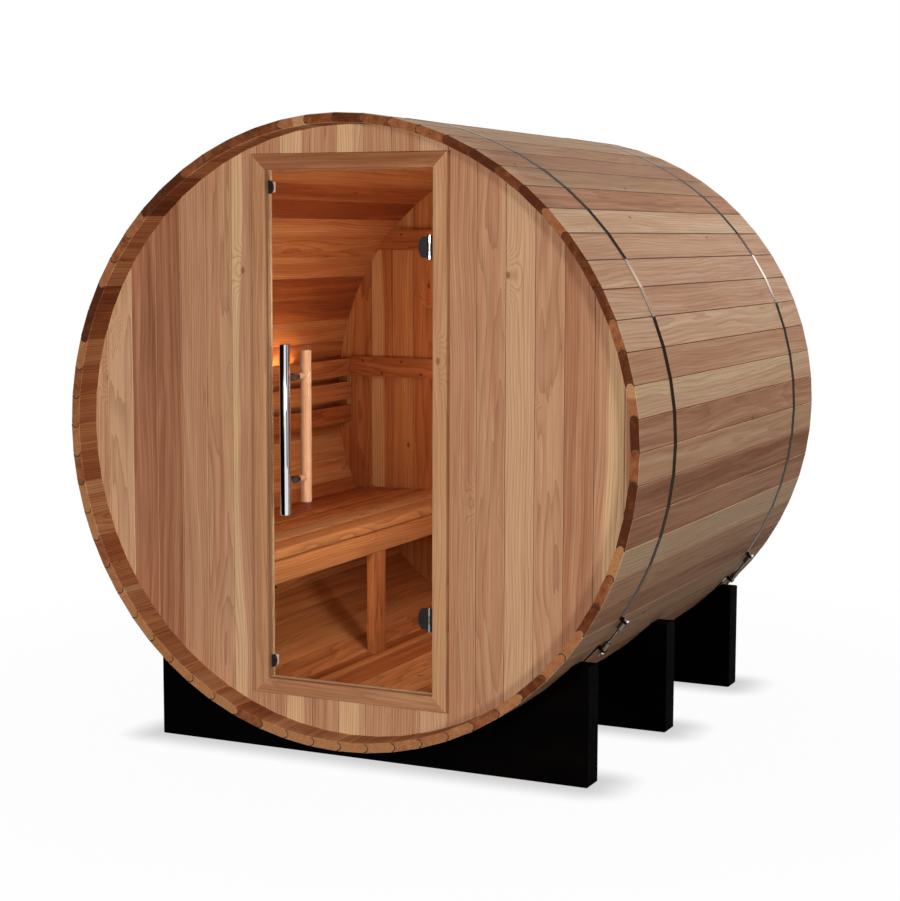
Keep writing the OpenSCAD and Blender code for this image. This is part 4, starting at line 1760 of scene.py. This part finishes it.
    def build_bench_frame(self) -> None:
        """Builds the fascia under the seat, the post and the bearers, which end at the staves."""
        fascia = self.wood("bench_fascia_board")
        cut = self.cut(tone=0.2, spread=0.05, flat=0.0)
        fascia.board(*corners("bench_fascia"), Run.Y, cut, self.ease)
        fascia.finish("cabin", "cabin_wood", ["bench_fascia"])
        low, high = corners("bench_post")
        post = self.wood("bench_post_board")
        middle = (low + high) / 2
        across = np.linspace(low[0], high[0], 5)
        outline = round_rectangle(high[0] - low[0], high[1] - low[1], self.post_round)
        feet = np.interp(outline[:, 0] + middle[0], across, self.ground(across))
        cut = self.cut(tone=0.35, spread=0.05, flat=0.0)
        post.carried(Placing.along_z(middle[0], middle[1]), outline, feet, high[2], cut)
        post.finish("cabin", "cabin_wood", ["bench_post"])
        bearers = self.wood("bench_bearer_boards")
        low, high = corners("bench_bearers")
        outline = self.scribed(np.array([high[0], high[0]]), np.array([low[2], high[2]]))
        thick = self.frame_thick
        for start in spaced(low[1], high[1], thick, 3):
            cut = self.cut().about((low[2] + high[2]) / 2, start + thick / 2)
            bearers.carried(Placing.along_y(), outline, start, start + thick, cut, grain=1)
        bearers.finish("cabin", "cabin_wood", ["bench_bearers"])

    def build_backrest(self) -> None:
        """Builds the slats and the supports behind them, and dresses the light strip."""
        low, high = corners("backrest_slats")
        slats = self.wood("backrest_slat_boards")
        for bottom in spaced(low[2], high[2], self.slat_high, 3):
            slat = part(low, high, Run.Z, bottom, bottom + self.slat_high)
            slats.board(*slat, Run.Y, self.cut(tone=0.42), self.ease)
        slats.finish("cabin", "cabin_wood", ["backrest_slats"])
        supports = self.wood("backrest_support_boards")
        bottom, top = low[2], high[2]
        lowest, highest = corners("backrest_supports")
        upright = self.scribed(np.array([low[0], low[0]]), np.array([bottom, top]))
        shelf = bottom - self.slat_gap
        foot = self.scribed(
            np.array([highest[0], high[0], low[0], low[0]]), np.array([lowest[2], shelf, shelf, bottom])
        )
        thick = self.frame_thick
        for number, start in enumerate(spaced(lowest[1], highest[1], thick, 3)):
            cut = self.cut(tone=0.4).about(start + thick / 2, low[0])
            for outline in (upright,) if number == 1 else (upright, foot):
                supports.carried(Placing.along_y(), outline, start, start + thick, cut, grain=2)
        supports.finish("cabin", "cabin_wood", ["backrest_supports"])
        dress("backrest_light", self.finishes.glow)

    def build_battens(self) -> None:
        """Builds the cross battens on the back wall; the lower one starts beside the backrest."""
        low, high = corners("back_wall_battens")
        battens = self.wood("back_wall_batten_boards")
        holes = Piece("batten_screw_holes", [self.finishes.hole])
        tall = self.batten_high
        beside = corners("backrest_slats")[1][0] + self.slat_gap
        for bottom, left in ((low[2], beside), (high[2] - tall, None)):
            rise = np.linspace(bottom, bottom + tall, 9)
            reach = self.reach(rise)
            start = -reach[::-1] if left is None else np.full_like(reach, left)
            outline = np.concatenate([np.column_stack([reach, rise]), np.column_stack([start, rise[::-1]])])
            cut = self.cut(tone=0.62, spread=0.05).about(bottom + tall / 2, (low[1] + high[1]) / 2)
            battens.carried(Placing.along_y(), outline, low[1], high[1], cut, grain=1)
            self.screws(holes, (start.max(), reach.min()), bottom, low[1])
        battens.finish("cabin", "cabin_wood", ["back_wall_battens"])
        holes.finish("cabin", "cabin_wood")

    def screws(self, piece: Piece, span: Pair, bottom: float, face: float) -> None:
        """Adds the screw holes of a batten, high and low on it in turn, as discs of painted shade.

        Args:
            piece: The piece.
            span: Ends of the batten.
            bottom: Height of the batten's underside.
            face: Place of the batten's face.
        """
        for number in range(self.screw_count):
            place = self.screw_first + number * self.screw_pitch
            if span[0] + self.screw_clear < place < span[1] - self.screw_clear:
                level = bottom + self.batten_high * self.screw_levels[number % 2]
                piece.turned(Placing.along_y(place, level, face), np.array(self.screw_hole), 16)


@dataclass
class Bands:
    """The steel bands and their threaded tensioners.

    Attributes:
        finishes: The finishes.
        barrel: The barrel inside the bands.
        angle: Angle of the tensioners below the level.
        rise: Height of the bolts' axis over the corners of the staves.
        span: Distance between the lugs.
        lug: Thickness of a lug.
        bolt: Radius of a bolt.
        thread: Pitch of the thread.
        thread_deep: Depth of the thread.
        nut: Distance from the middle of a nut to its corners.
        nut_thick: Thickness of a nut.
        nut_soft: Soft edge of a nut.
        sleeve: Height, width and length of the block inside each lug.
        sleeve_round: Radius of that block's long edges.
        sleeve_ease: Eased edge at its ends.
        tail: Length of the bolt past its nut.
    """

    finishes: Finishes
    barrel: Barrel
    angle: float = math.radians(37.2)
    rise: float = 0.014
    span: float = 0.106
    lug: float = 0.004
    bolt: float = 0.004
    thread: float = 0.0014
    thread_deep: float = 0.0004
    nut: float = 0.0095
    nut_thick: float = 0.007
    nut_soft: float = 0.001
    sleeve: Triple = (0.018, 0.020, 0.026)
    sleeve_round: float = 0.005
    sleeve_ease: float = 0.0015
    tail: float = 0.012

    def build(self) -> None:
        """Dresses the bands and builds the tensioners."""
        for node in ("band_front", "band_back"):
            dress(node, self.finishes.band)
        radius = self.barrel.outer / math.cos(self.barrel.step / 2) + self.rise
        out = np.array([math.cos(self.angle), 0.0, -math.sin(self.angle)])
        round_axis = np.array([math.sin(self.angle), 0.0, math.cos(self.angle)])
        bolts = Piece("tensioner_threads", [self.finishes.bolt, self.finishes.chrome])
        reach = self.span / 2 + self.lug
        ends = (-reach - self.nut_thick - self.tail, reach + self.nut_thick)
        turns = int((ends[1] - ends[0]) / self.thread)
        places = ends[0] + np.arange(2 * turns + 1) * self.thread / 2
        depth = np.where(np.arange(2 * turns + 1) % 2, 0.0, self.thread_deep)
        rod = np.column_stack([places, self.bolt - depth])
        tall, wide, long = self.sleeve
        block = round_rectangle(tall, wide, self.sleeve_round)
        thick, soft = self.nut_thick, self.nut_soft
        nut = np.array([[0.0, -soft], [0.4 * soft, 0.0], [thick - 0.4 * soft, 0.0], [thick, -soft]])
        for node in ("band_front", "band_back"):
            low, high = corners(node)
            middle = self.barrel.axis + out * radius + Y * (low[1] + high[1]) / 2
            placing = Placing(middle, round_axis, out, Y)
            bolts.turned(placing, rod, 14)
            for start in (reach, -reach - thick):
                bolts.turned(placing, nut + np.array([start, self.nut]), 6, slot=1)
            for start in (-self.span / 2, self.span / 2 - long):
                bolts.carried(placing, block, start, start + long, ease=self.sleeve_ease)
        bolts.finish("cabin", "band_steel", ["tensioner_bolts"])


@dataclass
class Cradles:
    """The three timbers with the barrel's curve cut out of them.

    Attributes:
        finishes: The finishes.
        barrel: The barrel that rests on them.
        ease: Eased edges.
        fit: Gap under the staves' corners.
    """

    finishes: Finishes
    barrel: Barrel
    ease: float = 0.0025
    fit: float = 0.0003

    def build(self) -> None:
        """Builds each cradle as its outline carried through its thickness."""
        radius = self.barrel.outer / math.cos(self.barrel.step / 2) + self.fit
        for node in ("cradle_front", "cradle_middle", "cradle_back"):
            low, high = corners(node)
            drop = self.barrel.axis[2] - high[2]
            lean = math.degrees(math.acos(drop / radius))
            curve = arc(np.array([0.0, self.barrel.axis[2]]), radius, -90 + lean, -90 - lean, 73)
            e = self.ease
            outline = np.concatenate([
                [[low[0] + e, 0.0], [high[0] - e, 0.0], [high[0], e], [high[0], high[2] - e]],
                [[high[0] - e, high[2]]], curve, [[low[0] + e, high[2]], [low[0], high[2] - e], [low[0], e]],
            ])
            piece = Piece(f"{node}_timber", [self.finishes.paint])
            piece.carried(Placing.along_y(), outline, low[1], high[1], ease=e)
            piece.finish("cabin", "cradle_black", [node])


@dataclass(frozen=True)
class Lamp:
    """A square studio lamp.

    Attributes:
        name: Its name.
        place: Where it stands.
        aim: What it points at.
        size: Side of the square.
        watts: Its power.
        colour: Its colour.
        hidden: Whether only its light shows, not the lamp itself.
    """

    name: str
    place: Triple
    aim: Triple
    size: float
    watts: float
    colour: Triple
    hidden: bool = False

    def build(self) -> None:
        """Adds the lamp to the scene."""
        light = bpy.data.lights.new(self.name, "AREA")
        light.energy = self.watts
        light.color = self.colour
        light.size = self.size
        made = bpy.data.objects.new(self.name, light)
        made.location = self.place
        way = Vector(self.aim) - Vector(self.place)
        made.rotation_euler = way.to_track_quat("-Z", "Y").to_euler()
        show(made, not self.hidden, "camera", "glossy", "transmission")
        bpy.context.scene.collection.objects.link(made)


@dataclass
class Studio:
    """White floor and background, soft light, and the camera of the photograph.

    Attributes:
        place: Place of the camera.
        yaw: Turn to the left of looking along the barrel, in radians.
        pitch: Tilt down, in radians.
        roll: Roll, in radians.
        focal_px: Focal length in pixels of the photograph.
        photo_px: Longer side of the photograph in pixels.
        sensor: Sensor size in millimetres.
        ambient: Strength of the light from all round.
        floor_half: Half the side of the floor.
        floor_grey: Brightness of the floor where it lights the sauna.
        shadow_wide: Width of the painted shadow round the cradles' feet.
        shadow_white: White share of the floor at a foot, where the painted shadow is darkest, and past it.
        white_from: Distances from the middle between which the floor turns all white.
        card_black: Brightness of the black cards.
        card_high: Height of the cards.
        cards: Both ends of each card on the floor.
        lamps: The lamps.
    """

    place: Triple = (2.5862, -5.6537, 1.5483)
    yaw: float = 0.4375
    pitch: float = 0.1119
    roll: float = 0.0027
    focal_px: float = 1922.1
    photo_px: float = 901.0
    sensor: float = 36.0
    ambient: float = 0.11
    floor_half: float = 30.0
    floor_grey: float = 0.1
    shadow_wide: float = 0.16
    shadow_white: Pair = (0.62, 0.975)
    white_from: Pair = (0.9, 3.0)
    card_black: float = 0.004
    card_high: float = 2.6
    cards: tuple[tuple[str, Pair, Pair], ...] = (
        ("left", (-3.0, -0.95), (0.0, -1.62)), ("right", (2.3, -2.6), (2.7, -1.5)),
    )
    lamps: tuple[Lamp, ...] = (
        Lamp("front", (0.3, -7.0, 1.4), (0.0, -0.8, 1.0), 1.3, 235.0, (1.0, 0.97, 0.93)),
        Lamp("right", (5.2, -6.4, 1.6), (0.0, -0.8, 1.0), 0.9, 175.0, (1.0, 0.97, 0.93)),
        Lamp("side", (4.7, 1.2, 5.6), (0.3, 0.0, 1.0), 2.0, 240.0, (1.0, 1.0, 1.0)),
        Lamp("back", (2.85, 10.8, 4.2), (0.7, 0.0, 1.3), 1.7, 190.0, (1.0, 1.0, 1.0)),
        Lamp("left", (-5.5, 4.0, 4.0), (-0.3, 0.0, 1.0), 2.0, 170.0, (1.0, 1.0, 1.0)),
        Lamp("cabin", (0.5, -0.3, 0.8), (-0.45, 0.4, 1.5), 0.3, 4.6, (0.94, 1.0, 1.0), True),
        Lamp("cabin_roof", (0.1, -0.15, 0.85), (0.05, 0.1, 1.9), 0.4, 4.0, (0.94, 1.0, 1.05), True),
        Lamp("cabin_top", (0.25, -0.3, 1.55), (0.05, -0.15, 0.0), 0.5, 5.0, (0.96, 1.0, 1.05), True),
    )

    def build(self) -> None:
        """Builds the camera, the floor, the world and the lamps."""
        self.build_camera()
        self.build_floor()
        self.build_flags()
        self.build_world()
        for lamp in self.lamps:
            lamp.build()
        bpy.context.scene.view_settings.view_transform = "Standard"

    def build_camera(self) -> None:
        """Builds the camera at the photograph's viewing angle."""
        lens = bpy.data.cameras.new("photo_camera")
        lens.sensor_width = self.sensor
        lens.lens = self.focal_px * self.sensor / self.photo_px
        camera = bpy.data.objects.new("photo_camera", lens)
        turn = Matrix.Rotation(self.yaw, 4, "Z") @ Matrix.Rotation(math.pi / 2 - self.pitch, 4, "X")
        camera.matrix_world = Matrix.Translation(self.place) @ turn @ Matrix.Rotation(self.roll, 4, "Z")
        bpy.context.scene.collection.objects.link(camera)
        bpy.context.scene.camera = camera

    @staticmethod
    def seen(g: Graph) -> Socket:
        """One for the rays by which the background shows, straight or in metal and glass.

        Rays that light matt surfaces, also those that come to them through the glass, count as zero.

        Args:
            g: Node tree of the background.

        Returns:
            The socket that holds one or zero.
        """
        ray = g.node("ShaderNodeLightPath", {})
        straight = g.math("MAXIMUM", ray.outputs["Is Camera Ray"], ray.outputs["Is Glossy Ray"])
        shown = g.math("MAXIMUM", straight, ray.outputs["Is Transmission Ray"])
        return g.math("MULTIPLY", shown, g.math("LESS_THAN", ray.outputs["Diffuse Depth"], 0.5))

    @staticmethod
    def sheet(name: str, points: Array, material: Material) -> bpy.types.Object:
        """Adds a four-sided sheet of the studio.

        Args:
            name: Its name.
            points: Its corners, in order.
            material: Its material.

        Returns:
            The object.
        """
        mesh = bpy.data.meshes.new(name)
        mesh.from_pydata(points, [], [(0, 1, 2, 3)])
        mesh.materials.append(material)
        made = bpy.data.objects.new(name, mesh)
        bpy.context.scene.collection.objects.link(made)
        return made

    def build_floor(self) -> None:
        """Builds the floor: white to the eye, with a painted shadow near the cradles' feet.

        The white share grows with the distance from the nearest foot, a rectangle in X and Y, and reaches
        one well away from the sauna. Where it is low, the dark matt grey shows in any light, which paints
        the shadow round the feet.
        """
        g = Graph("white_floor")
        place = g.place()
        away = g.vector("LENGTH", place)
        part = g.node("ShaderNodeSeparateXYZ", {0: place}).outputs
        low, high = corners("cradle_back")
        x, y = g.math("ABSOLUTE", part[0]), g.math("ABSOLUTE", part[1])
        row = g.math("MINIMUM", y, g.math("ABSOLUTE", g.math("SUBTRACT", y, (low[1] + high[1]) / 2)))
        past = g.math("MAXIMUM", g.math("SUBTRACT", x, high[0]), 0.0)
        beside = g.math("MAXIMUM", g.math("SUBTRACT", row, (high[1] - low[1]) / 2), 0.0)
        reach = g.math("SQRT", g.math("ADD", g.math("POWER", past, 2.0), g.math("POWER", beside, 2.0)))
        # Painted shadow: the white share drops towards each foot.
        near = g.eased(reach, 0.0, self.shadow_wide, *self.shadow_white)
        far = g.eased(away, *self.white_from, 0.0, 1.0)
        white_share = g.math("MULTIPLY_ADD", g.math("SUBTRACT", 1.0, near), far, near)
        share = g.math("MULTIPLY", white_share, self.seen(g))
        white = g.node("ShaderNodeEmission", {"Color": (1, 1, 1, 1), "Strength": 1.0})
        matte = self.grey(g, self.floor_grey)
        both = g.node("ShaderNodeMixShader", {0: share, 1: matte.outputs[0], 2: white.outputs[0]})
        corner = np.array([[-1, -1, 0], [1, -1, 0], [1, 1, 0], [-1, 1, 0]])
        self.sheet("floor", corner * self.floor_half, g.done(both))

    @staticmethod
    def grey(g: Graph, brightness: float) -> bpy.types.Node:
        """A matt grey shader."""
        return g.node("ShaderNodeBsdfDiffuse", {"Color": (brightness, brightness, brightness, 1)})

    def build_flags(self) -> None:
        """Builds the black cards beside the camera, which only the metal and the glass reflect."""
        g = Graph("black_card")
        card = g.done(self.grey(g, self.card_black))
        top = self.card_high
        for side, first, last in self.cards:
            points = np.array([[*first, 0], [*last, 0], [*last, top], [*first, top]])
            show(self.sheet(f"flag_{side}", points, card), False, "camera", "diffuse", "shadow")

    def build_world(self) -> None:
        """Builds the world: white to the eye, and a soft grey light for the rest."""
        g = Graph("studio", bpy.data.worlds)
        strength = g.math("MULTIPLY_ADD", self.seen(g), 1.0 - self.ambient, self.ambient)
        shade = g.node("ShaderNodeBackground", {"Color": (1, 1, 1, 1), "Strength": strength})
        bpy.context.scene.world = g.done(shade, "ShaderNodeOutputWorld")


def main() -> None:
    """Builds the studio and dresses the sauna, sub-assembly by sub-assembly."""
    logging.basicConfig(level=logging.INFO, format="%(name)s %(message)s")
    Studio().build()
    finishes = Finishes()
    barrel = Barrel(finishes)
    barrel.build()
    walls = BoardWalls(finishes, barrel)
    walls.build_front()
    walls.build_back()
    Doorway(finishes).build()
    GlassDoor(finishes).build()
    CabinFittings(finishes, barrel).build()
    Bands(finishes, barrel).build()
    Cradles(finishes, barrel).build()


if __name__ == "__main__":
    main()
